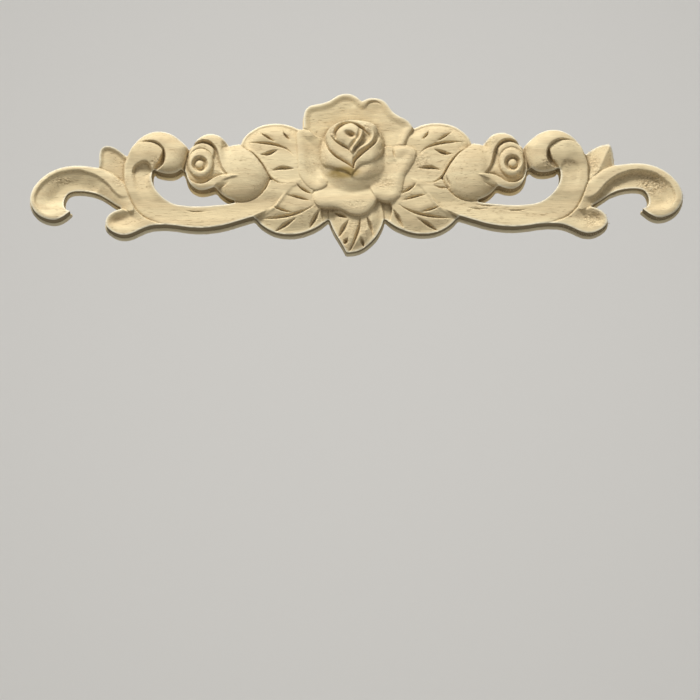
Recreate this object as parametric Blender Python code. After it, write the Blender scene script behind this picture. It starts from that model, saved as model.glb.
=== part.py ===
import math

import bmesh
import bpy
import numpy as np
from mathutils import Matrix

# Carved wood applique. Plan outlines and heights are in millimetres.
# The back is the plane y = 0, the relief stands towards -y, x is the length and z is up.
# Outlines of the side carving are given for the right-hand side and mirrored.

MM = 0.001
BLANK_THICKNESS = 16.0
GRID = 0.55
GRID_LENGTH = 282.7
GRID_HEIGHT = 73.7
KEEP_SHARE = 0.048
CURVE_STEPS = 5
SAW_STEPS = 2
WALL = 0.8
SHORTEST_SIDE = 0.3
SLIVER = 0.02
FEWEST_OUTLINE_POINTS = 20
SANDING_PASSES = 1

# Heights above the back
NOOK = 5.0
LEAF_EDGE = 5.3
LEAF_RISE = 3.3
SCROLL_RIM = 9.0
SCROLL_HOLLOW = 3.3
SCOOP_DEPTH = 3.1
LOBE_HOLLOW = 2.6
BRIDGE_TOP = 5.8
CURL_BED_TOP = 8.2
LEAF_BED_TOP = 7.0
CREST_EDGE = 7.6
CREST_TOP = 12.4
HIP_EDGE = 6.8
HIP_DOME = 5.0
BUD_EDGE = 8.0
BUD_RISE = 2.6
COLLAR_TOP = 11.2
PETAL_RIM = 9.0
PETAL_HOLLOW = 6.7
PETAL_FULL = 9.8
CUP_EDGE = 7.4
HEART_TOP = 14.6
VEIN_DEPTH = 1.5

# End scroll: its outer edge from the C scroll round to the tip, then back along the notch
HORN_BACK = [(99.3, -4.3), (104.2, -0.2), (109.7, 2.5), (114.3, 3.4), (119.9, 3.8), (124.9, 3.3), (130.0, 1.6),
             (134.3, -1.3), (138.0, -5.4), (139.8, -10.0), (139.6, -13.8), (137.4, -17.6), (134.6, -19.8),
             (131.0, -21.1), (127.8, -21.1), (124.6, -19.6), (121.2, -16.6)]
HORN_NOTCH = [(121.2, -16.6), (123.2, -16.1), (124.5, -14.4), (124.7, -12.0), (123.8, -9.5), (122.2, -8.2),
              (119.6, -7.7), (115.0, -8.0), (111.5, -9.0), (108.8, -10.1), (105.5, -12.3), (100.5, -15.5),
              (95.0, -17.0), (96.0, -7.0), (99.3, -4.3)]
LEAFLET_LEFT = [(109.8, 1.0), (110.3, 5.0), (110.5, 7.8), (110.0, 10.2), (108.8, 11.8), (107.0, 12.4),
                (105.0, 12.2), (102.6, 11.3), (100.4, 9.8), (98.3, 8.0), (94.0, 4.0), (96.0, -5.0), (103.0, -3.0)]
LEAFLET_RIGHT = [(109.8, 1.0), (110.7, 4.5), (110.6, 7.8), (109.8, 10.9), (108.8, 12.3), (107.0, 12.5),
                 (104.4, 12.2), (101.6, 10.9), (98.3, 8.4), (94.0, 4.0), (96.0, -5.0), (103.0, -3.0)]
LEAFLET_RIDGE = [(109.0, 11.5), (106.5, 6.5), (104.2, 1.1), (101.8, -3.0)]
LOBE = [(92.0, -16.0), (96.5, -14.0), (100.5, -15.6), (102.9, -16.3), (105.1, -17.5), (106.9, -19.6),
        (107.6, -22.2), (106.9, -24.2), (105.5, -25.6), (103.2, -27.1), (100.5, -28.0), (97.7, -28.0),
        (94.9, -27.1), (92.2, -25.7), (88.9, -24.3), (85.7, -23.7), (81.0, -23.6), (76.0, -23.8), (80.0, -20.0)]

# C scroll and sweep: the lower edge from the crest to the lower leaf, then the edge of the pierced opening
SWEEP_BACK = [(98.2, 7.0), (99.4, 3.5), (99.6, 0.0), (99.3, -4.5), (98.4, -7.2), (97.2, -10.4), (95.6, -14.0),
              (93.2, -17.4), (89.5, -20.4), (84.3, -22.5)]
SWEEP_FOOT = [(84.3, -22.5), (77.0, -24.0), (70.5, -25.0), (64.0, -25.1), (57.1, -24.1), (51.1, -22.4),
              (43.4, -19.9)]
SWEEP_OPENING = [(43.4, -19.9), (30.0, -17.0), (24.0, -8.0), (26.0, 0.0), (38.0, -4.0), (46.0, -11.0),
                 (53.0, -13.2), (60.3, -14.0), (68.0, -14.5), (75.6, -13.9), (78.8, -12.9), (81.5, -11.3),
                 (83.9, -9.2), (85.7, -6.7), (86.8, -4.0), (87.1, -1.5), (86.6, 1.5), (84.0, 5.0), (82.5, 10.0),
                 (84.0, 14.0), (90.0, 16.5), (95.0, 13.5), (98.2, 7.0)]
SCOOP_LIP = [(96.3, -1.0), (96.2, 0.8), (95.2, 3.0), (93.0, 4.7), (90.2, 5.2), (88.2, 4.0), (87.0, 1.5),
             (86.2, 0.4)]
SCOOP_SIDES = [(86.2, 0.4), (88.2, -2.5), (86.6, -6.8), (83.0, -11.6), (78.0, -15.2), (72.0, -17.4),
               (78.0, -19.6), (87.0, -17.8), (92.0, -13.6), (95.2, -7.6), (96.3, -1.0)]
CREST_OUTER = [(86.3, 0.5), (84.6, -0.3), (82.3, -0.9), (79.6, -1.2), (77.0, -0.7), (74.8, 0.8), (73.2, 3.6),
               (72.4, 7.0), (72.0, 11.0), (73.3, 12.9), (75.6, 15.0), (78.3, 17.0), (81.5, 18.3), (84.5, 18.7),
               (87.5, 18.4), (90.3, 17.4), (93.5, 15.3), (96.0, 12.4), (97.8, 9.4), (98.3, 7.0)]
CREST_INNER = [(98.3, 7.0), (96.8, 10.5), (93.6, 13.0), (90.3, 13.5), (87.5, 13.3), (85.2, 12.4), (83.4, 10.9),
               (82.3, 9.2), (81.8, 7.0), (82.0, 4.8), (82.9, 3.1), (84.3, 1.9), (86.3, 0.5)]

BRIDGE = [(70.0, 10.6), (72.2, 11.3), (74.6, 12.0), (76.0, 7.0), (74.6, 1.6), (72.0, 0.0), (70.0, 4.0)]
CURL_BED = [(79.5, 9.0), (81.2, 2.8), (83.6, 1.3), (86.4, 1.0), (88.5, 3.0), (88.5, 9.0), (84.0, 12.5)]
LEAF_BED = [(36.0, 3.5), (42.0, 4.0), (45.0, -3.0), (43.0, -9.0), (37.0, -9.5), (34.0, -3.5)]

# Rose hip and bud
HIP_CENTRE = (49.3, 0.0)
HIP_RADII = (12.7, 13.2)
NECK = [(60.5, 6.0), (55.5, 10.0), (54.2, 12.4), (53.6, 12.9)]
NECK_TOP = [(53.6, 12.9), (50.6, 12.9)]
NECK_INNER = [(50.6, 12.9), (46.0, 11.0), (46.0, 0.0), (60.5, 6.0)]
BUD_TOP = [(71.2, 10.9), (69.8, 13.0), (68.2, 15.1), (66.3, 16.5), (63.9, 17.4), (61.5, 17.5), (59.1, 16.9),
           (57.1, 15.7), (55.4, 14.1), (54.0, 12.0)]
BUD_HIDDEN = [(54.0, 12.0), (51.5, 6.0), (51.5, -1.0), (55.0, -5.6), (60.7, -7.3)]
BUD_FOOT = [(60.7, -7.3), (63.1, -8.2), (65.7, -8.6), (67.8, -8.3), (70.2, -7.0), (71.9, -4.8), (72.9, -1.8),
            (73.3, 1.5), (72.9, 5.0), (71.9, 8.5), (71.2, 10.9)]
BOWL_UPPER = [(71.3, 9.4), (69.6, 12.3), (66.6, 13.8), (63.6, 13.6), (61.2, 11.9), (59.5, 9.0), (58.6, 5.4),
              (57.4, 1.6), (55.4, -1.2)]
BOWL_LOWER = [(55.4, -1.2), (59.0, -1.8), (62.0, -3.3), (64.6, -5.0), (68.0, -5.2), (71.0, -3.5), (72.4, -0.5),
              (72.6, 4.0), (71.3, 9.4)]
FRINGE = [(60.6, 9.6), (62.6, 11.9), (65.5, 12.9), (68.4, 12.4), (70.6, 10.4), (71.8, 7.6), (70.0, 4.0),
          (64.0, 4.0), (61.4, 6.0)]
COLLAR_CENTRE = (66.5, 3.7)
COLLAR_RADII = (5.5, 6.7)
DOT_CENTRE = (66.9, 3.2)
DOT_RADIUS = 1.9
LIP_UPPER = [(49.4, -2.2), (54.3, -1.9), (58.4, -2.0), (61.5, -3.4), (64.6, -5.1), (68.0, -5.3), (71.0, -3.6),
             (72.9, -1.0)]
LIP_LOWER = [(72.9, -1.0), (72.4, -3.9), (71.2, -6.0), (69.0, -7.8), (65.7, -8.6), (62.5, -7.9), (60.7, -7.0),
             (59.6, -5.6), (58.4, -4.3), (55.1, -3.3), (49.4, -2.2)]

# Leaves beside the rose: the free edge, then the edge over the carving behind
UPPER_LEAF_EDGE = [(50.0, 12.7), (49.1, 15.6), (47.2, 17.9), (44.8, 19.9), (42.0, 21.5), (39.2, 22.4),
                   (36.0, 22.9), (32.9, 22.9), (30.1, 22.5), (27.7, 21.9), (25.3, 20.9), (18.0, 17.0)]
UPPER_LEAF_INNER = [(18.0, 17.0), (18.0, -3.0), (24.0, -4.2), (29.7, -5.0), (32.5, -4.9), (34.8, -3.9),
                    (36.8, -2.2), (38.4, 0.2), (40.0, 3.0), (42.0, 5.8), (44.4, 8.4), (47.2, 10.2), (50.0, 12.7)]
LOWER_LEAF_EDGE = [(43.6, -19.8), (41.2, -22.8), (37.2, -25.6), (32.9, -27.2), (28.1, -27.6), (23.3, -27.0),
                   (18.5, -25.2), (15.0, -23.2), (11.9, -20.2), (6.0, -12.0)]
LOWER_LEAF_INNER = [(6.0, -12.0), (15.0, 0.0), (25.7, -4.7), (28.1, -5.9), (30.9, -9.4), (33.2, -12.6),
                    (35.6, -15.4), (39.5, -17.6), (43.6, -19.8)]
NOOK_OUTLINE = [(8.0, -10.0), (13.0, -12.0), (15.2, -16.0), (14.2, -21.0), (12.0, -24.0), (9.0, -21.0)]
TONGUE_LEFT = [(-12.2, -18.0), (-11.9, -20.5), (-11.2, -22.8), (-9.6, -26.4), (-7.6, -29.8), (-5.8, -33.0),
               (-4.6, -35.4)]
TONGUE_RIGHT = [(-4.6, -35.4), (-0.8, -35.1), (2.1, -34.2), (5.0, -32.3), (8.0, -29.4), (9.9, -26.5),
                (11.4, -23.2), (12.0, -19.5), (10.0, -10.0)]
TONGUE_TOP = [(10.0, -10.0), (-10.0, -10.0), (-12.2, -18.0)]

# Vein cuts: points, width, and how far the wood slopes down to the cut on one side
UPPER_VEINS = [([(46.5, 13.0), (41.2, 13.3), (36.8, 12.9), (32.9, 11.9), (29.7, 10.5), (26.6, 7.6)], 1.3, -3.5),
               ([(41.4, 18.0), (38.5, 16.2), (35.0, 13.8)], 1.1, -3.0),
               ([(31.4, 18.6), (30.3, 16.6), (28.2, 14.6)], 1.1, -2.6),
               ([(41.2, 8.4), (38.0, 8.3), (34.2, 9.6)], 1.6, 0.0),
               ([(35.6, 1.0), (32.1, 1.9), (26.6, 1.7)], 1.4, 2.6)]
LOWER_VEINS = [([(40.2, -20.1), (35.2, -20.0), (30.5, -19.4), (26.1, -18.4), (21.7, -16.7), (17.5, -14.2)], 1.3,
                -3.2),
               ([(35.8, -15.4), (31.7, -16.7), (27.5, -17.8)], 1.1, -3.6),
               ([(30.0, -10.2), (25.3, -11.0), (19.8, -12.8)], 1.1, -3.4),
               ([(26.0, -4.9), (22.9, -7.6), (18.4, -10.0)], 1.1, -2.6),
               ([(26.5, -20.9), (30.6, -23.2), (34.4, -25.9)], 1.4, 0.0),
               ([(15.6, -16.4), (17.7, -20.1), (20.0, -24.2)], 1.5, 0.0)]
TONGUE_VEINS = [([(1.4, -19.5), (1.4, -23.2), (0.4, -26.8), (-0.9, -30.2), (-2.4, -33.1), (-3.8, -35.2)], 1.2,
                 -2.2),
                ([(-9.6, -17.4), (-7.4, -18.6), (-4.2, -19.9)], 1.8, 0.0),
                ([(-3.6, -21.4), (-5.6, -24.7), (-7.4, -27.8)], 1.4, 0.0),
                ([(-3.9, -29.2), (-4.7, -30.3), (-5.2, -31.2)], 1.2, 0.0),
                ([(4.4, -19.8), (5.8, -23.2), (7.1, -27.5)], 1.2, 0.0),
                ([(1.8, -28.9), (2.5, -30.6), (3.0, -32.4)], 1.2, 0.0)]

# Rose petals: the free edge, then the part under the cup
NORTH_WEST = [(-22.6, 17.0), (-22.9, 21.0), (-22.9, 25.4), (-22.1, 28.0), (-20.4, 29.8), (-17.9, 30.6),
              (-14.9, 31.1), (-12.0, 32.0), (-9.8, 33.4), (-7.4, 34.9), (-4.7, 35.5), (-1.8, 35.2), (0.8, 33.8),
              (2.7, 31.8)]
NORTH_WEST_ROOT = [(2.7, 31.8), (3.0, 24.0), (-2.0, 16.0), (-16.0, 12.0), (-22.6, 17.0)]
NORTH_EAST = [(2.5, 31.9), (4.6, 33.1), (7.0, 33.5), (9.9, 33.2), (12.3, 32.1), (14.1, 30.1), (15.6, 27.8),
              (17.3, 26.1), (19.7, 24.7), (22.1, 23.6), (23.9, 21.8), (24.4, 19.6), (22.8, 16.2), (21.0, 12.0)]
NORTH_EAST_ROOT = [(21.0, 12.0), (14.0, 6.0), (4.0, 14.0), (1.8, 26.0), (2.5, 31.9)]
WEST = [(-20.6, 18.9), (-24.2, 19.3), (-25.8, 16.7), (-25.4, 10.4), (-25.3, 6.5), (-25.0, 2.6), (-24.7, -0.8),
        (-23.2, -3.8), (-20.8, -6.6), (-17.9, -8.3), (-14.9, -7.8), (-12.6, -6.3), (-12.2, -4.6)]
WEST_ROOT = [(-12.2, -4.6), (-10.0, 2.0), (-12.0, 14.0), (-16.0, 15.6), (-20.6, 18.9)]
SOUTH = [(-15.5, -5.0), (-18.4, -8.6), (-18.7, -11.3), (-17.9, -13.5), (-16.4, -15.2), (-14.0, -16.0),
         (-11.0, -15.9), (-8.1, -16.3), (-5.7, -17.2), (-3.2, -18.5), (-0.8, -19.3), (1.6, -19.4), (4.1, -18.7),
         (6.0, -17.1), (7.7, -14.9), (8.8, -12.4)]
SOUTH_ROOT = [(8.8, -12.4), (10.0, -6.0), (4.0, 0.0), (-6.0, 0.0), (-15.5, -5.0)]
EAST = [(8.7, -12.2), (11.4, -13.2), (14.3, -13.4), (16.7, -12.8), (18.7, -11.0), (19.8, -8.1), (20.4, -4.9),
        (21.0, -2.0), (22.3, 0.0), (24.0, 2.8), (25.3, 5.5), (25.9, 8.3), (24.9, 10.4), (22.1, 11.6),
        (18.7, 11.9), (15.6, 11.4)]
EAST_ROOT = [(15.6, 11.4), (9.0, 10.0), (6.0, 0.0), (6.0, -7.0), (8.7, -12.2)]

CUP_CENTRE = (-1.9, 6.4)
CUP_RADII = (15.9, 15.6)

# Rose cup: nested mouths, each left run going down to its point and right run back up
WRAP = ([(-14.6, 14.5), (-15.4, 9.0), (-14.2, 3.2), (-11.0, 1.5), (-8.0, 0.6), (-5.5, -0.3), (-3.5, -1.6),
         (-1.9, -2.9)],
        [(-1.9, -2.9), (-0.3, -1.0), (0.8, 0.6), (2.5, 2.1), (5.0, 2.9), (8.0, 4.3), (10.5, 6.8), (12.1, 9.8),
         (12.4, 13.5), (11.4, 18.0), (8.4, 21.6), (3.5, 23.4), (-2.5, 23.6), (-8.5, 22.2), (-12.6, 19.0),
         (-14.6, 14.5)])
FIRST_MOUTH = ([(-13.4, 15.5), (-13.2, 12.5), (-11.9, 9.2), (-10.0, 6.8), (-7.7, 4.9), (-5.6, 3.6), (-4.0, 2.5),
                (-2.6, 1.4), (-1.1, 0.2)],
               [(-1.1, 0.2), (-0.2, 3.6), (1.6, 5.6), (3.4, 7.3), (6.0, 9.5), (8.3, 11.8), (9.6, 14.6),
                (9.8, 17.6), (8.3, 20.4), (4.0, 22.3), (-2.0, 22.9), (-7.5, 21.6), (-11.5, 18.8), (-13.4, 15.5)])
SECOND_MOUTH = ([(-11.2, 16.4), (-10.3, 14.2), (-8.6, 12.3), (-6.7, 10.9), (-5.0, 9.7), (-3.7, 8.7), (-2.4, 7.4),
                 (-0.9, 4.9)],
                [(-0.9, 4.9), (-0.3, 7.2), (0.5, 8.6), (1.9, 9.8), (4.4, 11.2), (6.4, 13.3), (7.2, 16.0),
                 (7.0, 18.5), (5.3, 20.8), (2.0, 21.8), (-3.0, 22.2), (-7.6, 20.6), (-10.0, 18.8),
                 (-11.2, 16.4)])
HEART = ([(-8.7, 15.2), (-8.3, 17.7), (-6.8, 19.9), (-4.4, 21.1), (-1.6, 21.0), (1.0, 19.7), (3.2, 17.7)],
         [(3.2, 17.7), (1.9, 16.4), (0.6, 13.4), (-0.9, 11.0), (-2.2, 8.4)],
         [(-2.2, 8.4), (-5.0, 10.7), (-7.4, 12.6), (-8.7, 15.2)])


def smooth_line(points, closed=False, steps=CURVE_STEPS):
    """A smooth line through the points."""
    p = np.array(points, float)
    count = len(p)
    t = np.linspace(0, 1, steps, endpoint=False)[:, None]
    pieces = []
    for i in range(count if closed else count - 1):
        b = p[i]
        c = p[(i + 1) % count]
        a = p[i - 1] if closed or i > 0 else b
        d = p[(i + 2) % count] if closed or i + 2 < count else c
        bend = (2 * a - 5 * b + 4 * c - d) * t**2 + (3 * b - a - 3 * c + d) * t**3
        pieces.append(b + 0.5 * ((c - a) * t + bend))
    if not closed:
        pieces.append(p[-1:])
    return np.concatenate(pieces)


def outline(*runs, steps=CURVE_STEPS):
    """One smooth closed line, or several runs that meet in corners."""
    if len(runs) == 1:
        return smooth_line(runs[0], True, steps)
    return np.concatenate([smooth_line(run, False, steps)[:-1] for run in runs])


def oval(centre, radii, turn=0.0, count=48):
    angle = np.linspace(0, 2 * math.pi, count, endpoint=False)
    u = radii[0] * np.cos(angle)
    v = radii[1] * np.sin(angle)
    across = centre[0] + u * math.cos(turn) - v * math.sin(turn)
    up = centre[1] + u * math.sin(turn) + v * math.cos(turn)
    return np.stack([across, up], axis=1)


def nearest(x, z, line, closed=False):
    """Distance to a line, the side of it (1 is left) and how far along it from 0 to 1."""
    starts = line if closed else line[:-1]
    ends = np.roll(line, -1, axis=0) if closed else line[1:]
    lengths = np.hypot(*(ends - starts).T)
    before = np.concatenate([[0.0], np.cumsum(lengths)])
    best = np.full(x.shape, np.inf)
    side = np.zeros(x.shape)
    along = np.zeros(x.shape)
    for (ax, az), (bx, bz), length, start in zip(starts, ends, lengths, before):
        ux = (bx - ax) / length
        uz = (bz - az) / length
        t = np.clip((x - ax) * ux + (z - az) * uz, 0, length)
        dx = x - ax - t * ux
        dz = z - az - t * uz
        gap = dx**2 + dz**2
        closer = gap < best
        best = np.where(closer, gap, best)
        side = np.where(closer, np.sign(ux * dz - uz * dx), side)
        along = np.where(closer, (start + t) / before[-1], along)
    return np.sqrt(best), side, along


def depth_inside(x, z, line):
    """Distance in from a closed line, negative outside it."""
    inside = np.zeros(x.shape, bool)
    for (ax, az), (bx, bz) in zip(line, np.roll(line, -1, axis=0)):
        if az != bz:
            crosses = (az > z) != (bz > z)
            inside ^= crosses & (x < ax + (z - az) * (bx - ax) / (bz - az))
    gap = nearest(x, z, line, closed=True)[0]
    return np.where(inside, gap, -gap)


def distance_to(x, z, points):
    return nearest(x, z, smooth_line(points))[0]


def ramp(value, start, end):
    t = np.clip((value - start) / (end - start), 0, 1)
    return t * t * (3 - 2 * t)


def bulge(t):
    """Quarter round: 0 at the edge, 1 from t = 1 on."""
    return np.sqrt(1 - (1 - np.clip(t, 0, 1)) ** 2)


class Relief:
    """Heights over the plan, built up form by form as a carver lays them out."""

    def __init__(self, x, z, base):
        self.x = x
        self.z = z
        self.height = np.full(x.shape, base)

    def pick(self, line, margin, mirrored, only):
        x = np.abs(self.x) if mirrored else self.x
        low = line.min(axis=0) - margin
        high = line.max(axis=0) + margin
        near = (x > low[0]) & (x < high[0]) & (self.z > low[1]) & (self.z < high[1])
        if only:
            near &= self.x * only > 0
        chosen = np.nonzero(near)[0]
        return chosen, x[chosen], self.z[chosen]

    def lay(self, line, surface, wall=WALL, mirrored=False, only=0):
        """Puts a form over what is there, with a short wall along its outline."""
        chosen, x, z = self.pick(line, wall, mirrored, only)
        depth = depth_inside(x, z, line)
        share = ramp(depth / wall, -0.5, 0.5)
        self.height[chosen] += share * (surface(x, z, depth) - self.height[chosen])

    def sink(self, line, amount, mirrored=False):
        """Lowers the wood inside an outline by an amount."""
        chosen, x, z = self.pick(line, 0, mirrored, 0)
        depth = depth_inside(x, z, line)
        self.height[chosen] -= np.where(depth > 0, amount(x, z, depth), 0)

    def cut(self, points, width, slope, deep=VEIN_DEPTH, mirrored=False):
        """A knife cut along a line, with a gentle slope down to it on one side."""
        line = smooth_line(points)
        reach = max(width, abs(slope))
        chosen, x, z = self.pick(line, reach, mirrored, 0)
        gap, side, along = nearest(x, z, line)
        taper = np.clip(np.minimum(along, 1 - along) / 0.3, 0, 1) ** 0.6
        gentle = (side * slope > 0) & (gap > 0)
        profile = np.where(gentle, np.clip(1 - gap / reach, 0, 1) ** 1.6, np.clip(1 - gap / width, 0, 1))
        self.height[chosen] -= deep * taper * profile


def carve_ends(relief):
    """Small leaf, lobe and end scroll."""

    def scooped_leaf(x, z, depth):
        lean = ramp(x + 0.25 * z, 98.5, 110.5)
        lip = 0.9 * (1 - bulge(depth / 1.6)) * (z > 4)
        return 5.6 + 2.6 * lean + lip - 0.8 * (1 - bulge(depth / 0.7))

    def ridged_leaf(x, z, depth):
        gap = distance_to(x, z, LEAFLET_RIDGE)
        return 8.6 - 0.42 * np.minimum(gap, 6) - 0.6 * (1 - bulge(depth / 0.7))

    def lobe(x, z, depth):
        hollow = ramp(depth, 0.9, 4.2) * ramp(x, 88, 103) * ramp(z, -27.5, -19)
        return SCROLL_RIM - 0.3 - LOBE_HOLLOW * hollow - 0.9 * (1 - bulge(depth))

    def horn(x, z, depth):
        back = distance_to(x, z, HORN_BACK[:-2])
        hollow = ramp(back, 2.2, 6.2) * ramp(x, 97, 113) * ramp(z + 0.35 * (x - 128), -21.5, -9.5)
        top = SCROLL_RIM - (SCROLL_HOLLOW - 0.1 * np.clip(back - 6, 0, 10)) * hollow
        return top - 1.3 * (1 - bulge(back / 1.8)) - 0.5 * (1 - bulge(depth / 0.6))

    relief.lay(outline(LEAFLET_LEFT), scooped_leaf, mirrored=True, only=-1)
    relief.lay(outline(LEAFLET_RIGHT), ridged_leaf, mirrored=True, only=1)
    relief.lay(outline(LOBE), lobe, mirrored=True)
    relief.lay(outline(HORN_BACK, HORN_NOTCH), horn, mirrored=True)


def carve_scrolls(relief):
    """C scroll, sweep and crest."""

    def sweep(x, z, depth):
        back = distance_to(x, z, SWEEP_BACK)
        top = SCROLL_RIM + 1.0 * ramp(z, 0, 9) + 0.4 * bulge(back / 4) * ramp(z, 3, 9)
        top = top - 0.9 * ramp(-z, 8, 14) * ramp(z + 0.1 * (x - 60), -24, -16)
        return top - 1.1 * (1 - bulge(back / 1.3)) * ramp(z, -26, -18) - 0.7 * (1 - bulge(depth / 0.8))

    def scoop(x, z, depth):
        down = ramp(-z - 0.12 * (x - 87), -3, 16)
        under_lip = 1.1 * ramp(z, -3, 4)
        wall = ramp(depth, 0, 0.9 + 1.4 * ramp(-z, -2, 6))
        return wall * (SCOOP_DEPTH * (1 - down) + under_lip)

    def crest(x, z, depth):
        outer = distance_to(x, z, CREST_OUTER)
        inner = distance_to(x, z, CREST_INNER)
        grow = ramp(-x, -97, -84)
        top = CREST_TOP - 2.2 * (1 - grow)
        return CREST_EDGE + (top - CREST_EDGE) * bulge(outer / 6.5) - 0.6 * grow * (1 - bulge(inner / 2.0))

    def flat(top):
        return lambda x, z, depth: top + 0 * depth

    relief.lay(outline(BRIDGE), flat(BRIDGE_TOP), mirrored=True)
    relief.lay(outline(CURL_BED), flat(CURL_BED_TOP), mirrored=True)
    relief.lay(outline(LEAF_BED), flat(LEAF_BED_TOP), mirrored=True)
    relief.lay(outline(SWEEP_BACK, SWEEP_FOOT, SWEEP_OPENING), sweep, mirrored=True)
    relief.sink(outline(SCOOP_LIP, SCOOP_SIDES), scoop, mirrored=True)
    relief.lay(outline(CREST_OUTER, CREST_INNER), crest, mirrored=True)


def hip_height(x, z):
    radius = np.hypot((x - HIP_CENTRE[0]) / HIP_RADII[0], (z - HIP_CENTRE[1]) / HIP_RADII[1])
    return HIP_EDGE + HIP_DOME * np.sqrt(np.clip(1 - radius**2.2, 0, 1)) - 1.2 * ramp(x, 53, 61)


def carve_buds(relief):
    """Rose hip and the bud that opens from it."""

    def neck(x, z, depth):
        return 8.6 - 1.8 * ramp(z, 7, 13)

    def hip(x, z, depth):
        return hip_height(x, z)

    def outer_petal(x, z, depth):
        melt = ramp(x, 53.5, 58.5)
        return (1 - melt) * hip_height(x, z) + melt * (BUD_EDGE + BUD_RISE * bulge(depth / 3.6))

    def bowl(x, z, depth):
        return 7.4 + 1.8 * bulge(depth / 3) + 1.2 * ramp(-x, -60, -55.5) - 0.4 * ramp(z, 8, 13)

    def fringe(x, z, depth):
        return 9.0 + 1.4 * bulge(depth / 1.2)

    def collar(x, z, depth):
        out = np.hypot(x - DOT_CENTRE[0], z - DOT_CENTRE[1])
        well = 8.4
        ringed = well + (COLLAR_TOP - well) * bulge(depth / 2.2) * ramp(out, 2.4, 3.9)
        dot = COLLAR_TOP - 0.5 - 0.5 * (out / DOT_RADIUS) ** 2
        return np.where(out < DOT_RADIUS, dot, ringed)

    def lower_petal(x, z, depth):
        melt = ramp(x, 52, 61)
        fold = BUD_EDGE + BUD_RISE * bulge((z + 8.8 - 0.25 * np.clip(x - 66, 0, 9)) / 4)
        return (1 - melt) * (hip_height(x, z) + 0.7) + melt * fold

    relief.lay(outline(NECK, NECK_TOP, NECK_INNER), neck, mirrored=True)
    relief.lay(oval(HIP_CENTRE, HIP_RADII), hip, mirrored=True)
    relief.lay(outline(BUD_TOP, BUD_HIDDEN, BUD_FOOT), outer_petal, mirrored=True)
    relief.lay(outline(BOWL_UPPER, BOWL_LOWER), bowl, wall=1.6 * WALL, mirrored=True)
    relief.lay(outline(FRINGE), fringe, mirrored=True)
    relief.lay(oval(COLLAR_CENTRE, COLLAR_RADII), collar, mirrored=True)
    relief.lay(outline(LIP_UPPER, LIP_LOWER), lower_petal, mirrored=True)


def carve_leaves(relief):
    """Five leaves round the rose, with their veins."""

    def upper(x, z, depth):
        edge = distance_to(x, z, UPPER_LEAF_EDGE)
        under_rose = 0.6 * ramp(-x, -34, -24) * ramp(z, 2, 12)
        return LEAF_EDGE + LEAF_RISE * bulge(edge / 7.5) - 0.4 * (1 - bulge(depth / 0.8)) - under_rose

    def lower(x, z, depth):
        edge = distance_to(x, z, LOWER_LEAF_EDGE)
        return LEAF_EDGE + LEAF_RISE * bulge(edge / 9) - 0.4 * (1 - bulge(depth / 0.8))

    def nook(x, z, depth):
        return NOOK + 0 * depth

    def tongue(x, z, depth):
        side = LEAF_EDGE - 0.7 + 2.6 * bulge(depth / 4.5)
        return side + 0.9 * ramp(x, -6, 9) - 0.9 * ramp(-z, 29, 36)

    relief.lay(outline(UPPER_LEAF_EDGE, UPPER_LEAF_INNER), upper, mirrored=True)
    relief.lay(outline(LOWER_LEAF_EDGE, LOWER_LEAF_INNER), lower, mirrored=True)
    relief.lay(outline(NOOK_OUTLINE), nook, mirrored=True)
    for points, width, slope in UPPER_VEINS + LOWER_VEINS:
        relief.cut(points, width, slope, mirrored=True)
    relief.lay(outline(TONGUE_LEFT, TONGUE_RIGHT, TONGUE_TOP), tongue)
    for points, width, slope in TONGUE_VEINS:
        relief.cut(points, width, slope)


def hollowed(free_edge, width):
    """A petal with a raised rim along its free edge."""

    def surface(x, z, depth):
        out = distance_to(x, z, free_edge)
        hollow = (PETAL_RIM - PETAL_HOLLOW) * ramp(out, 0.25 * width, 1.15 * width)
        return PETAL_RIM - hollow - 0.7 * (1 - bulge(out))

    return surface


def carve_petals(relief):
    """Five open petals of the rose."""

    def roll(x, z, depth):
        return 8.0 + 2.0 * bulge(depth / 3)

    def south(x, z, depth):
        return PETAL_FULL - 1.3 * (1 - bulge(depth / 4)) - 0.5 * ramp(z, -12, -4)

    def east(x, z, depth):
        edge = distance_to(x, z, EAST)
        return PETAL_FULL - 1.8 * (1 - bulge(edge / 3.4)) - 1.6 * ramp(z, 3, 11) * ramp(-x, -21, -15)

    relief.lay(outline(NORTH_WEST, NORTH_WEST_ROOT), hollowed(NORTH_WEST, 4.6))
    relief.lay(outline(NORTH_EAST, NORTH_EAST_ROOT), hollowed(NORTH_EAST, 4.6))
    relief.lay(outline(WEST, WEST_ROOT), hollowed(WEST, 3.8))
    relief.lay(oval((-17.6, -4.4), (5.6, 3.9), turn=-0.25), roll, wall=1.5 * WALL)
    relief.lay(outline(SOUTH, SOUTH_ROOT), south)
    relief.lay(outline(EAST, EAST_ROOT), east)


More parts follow.
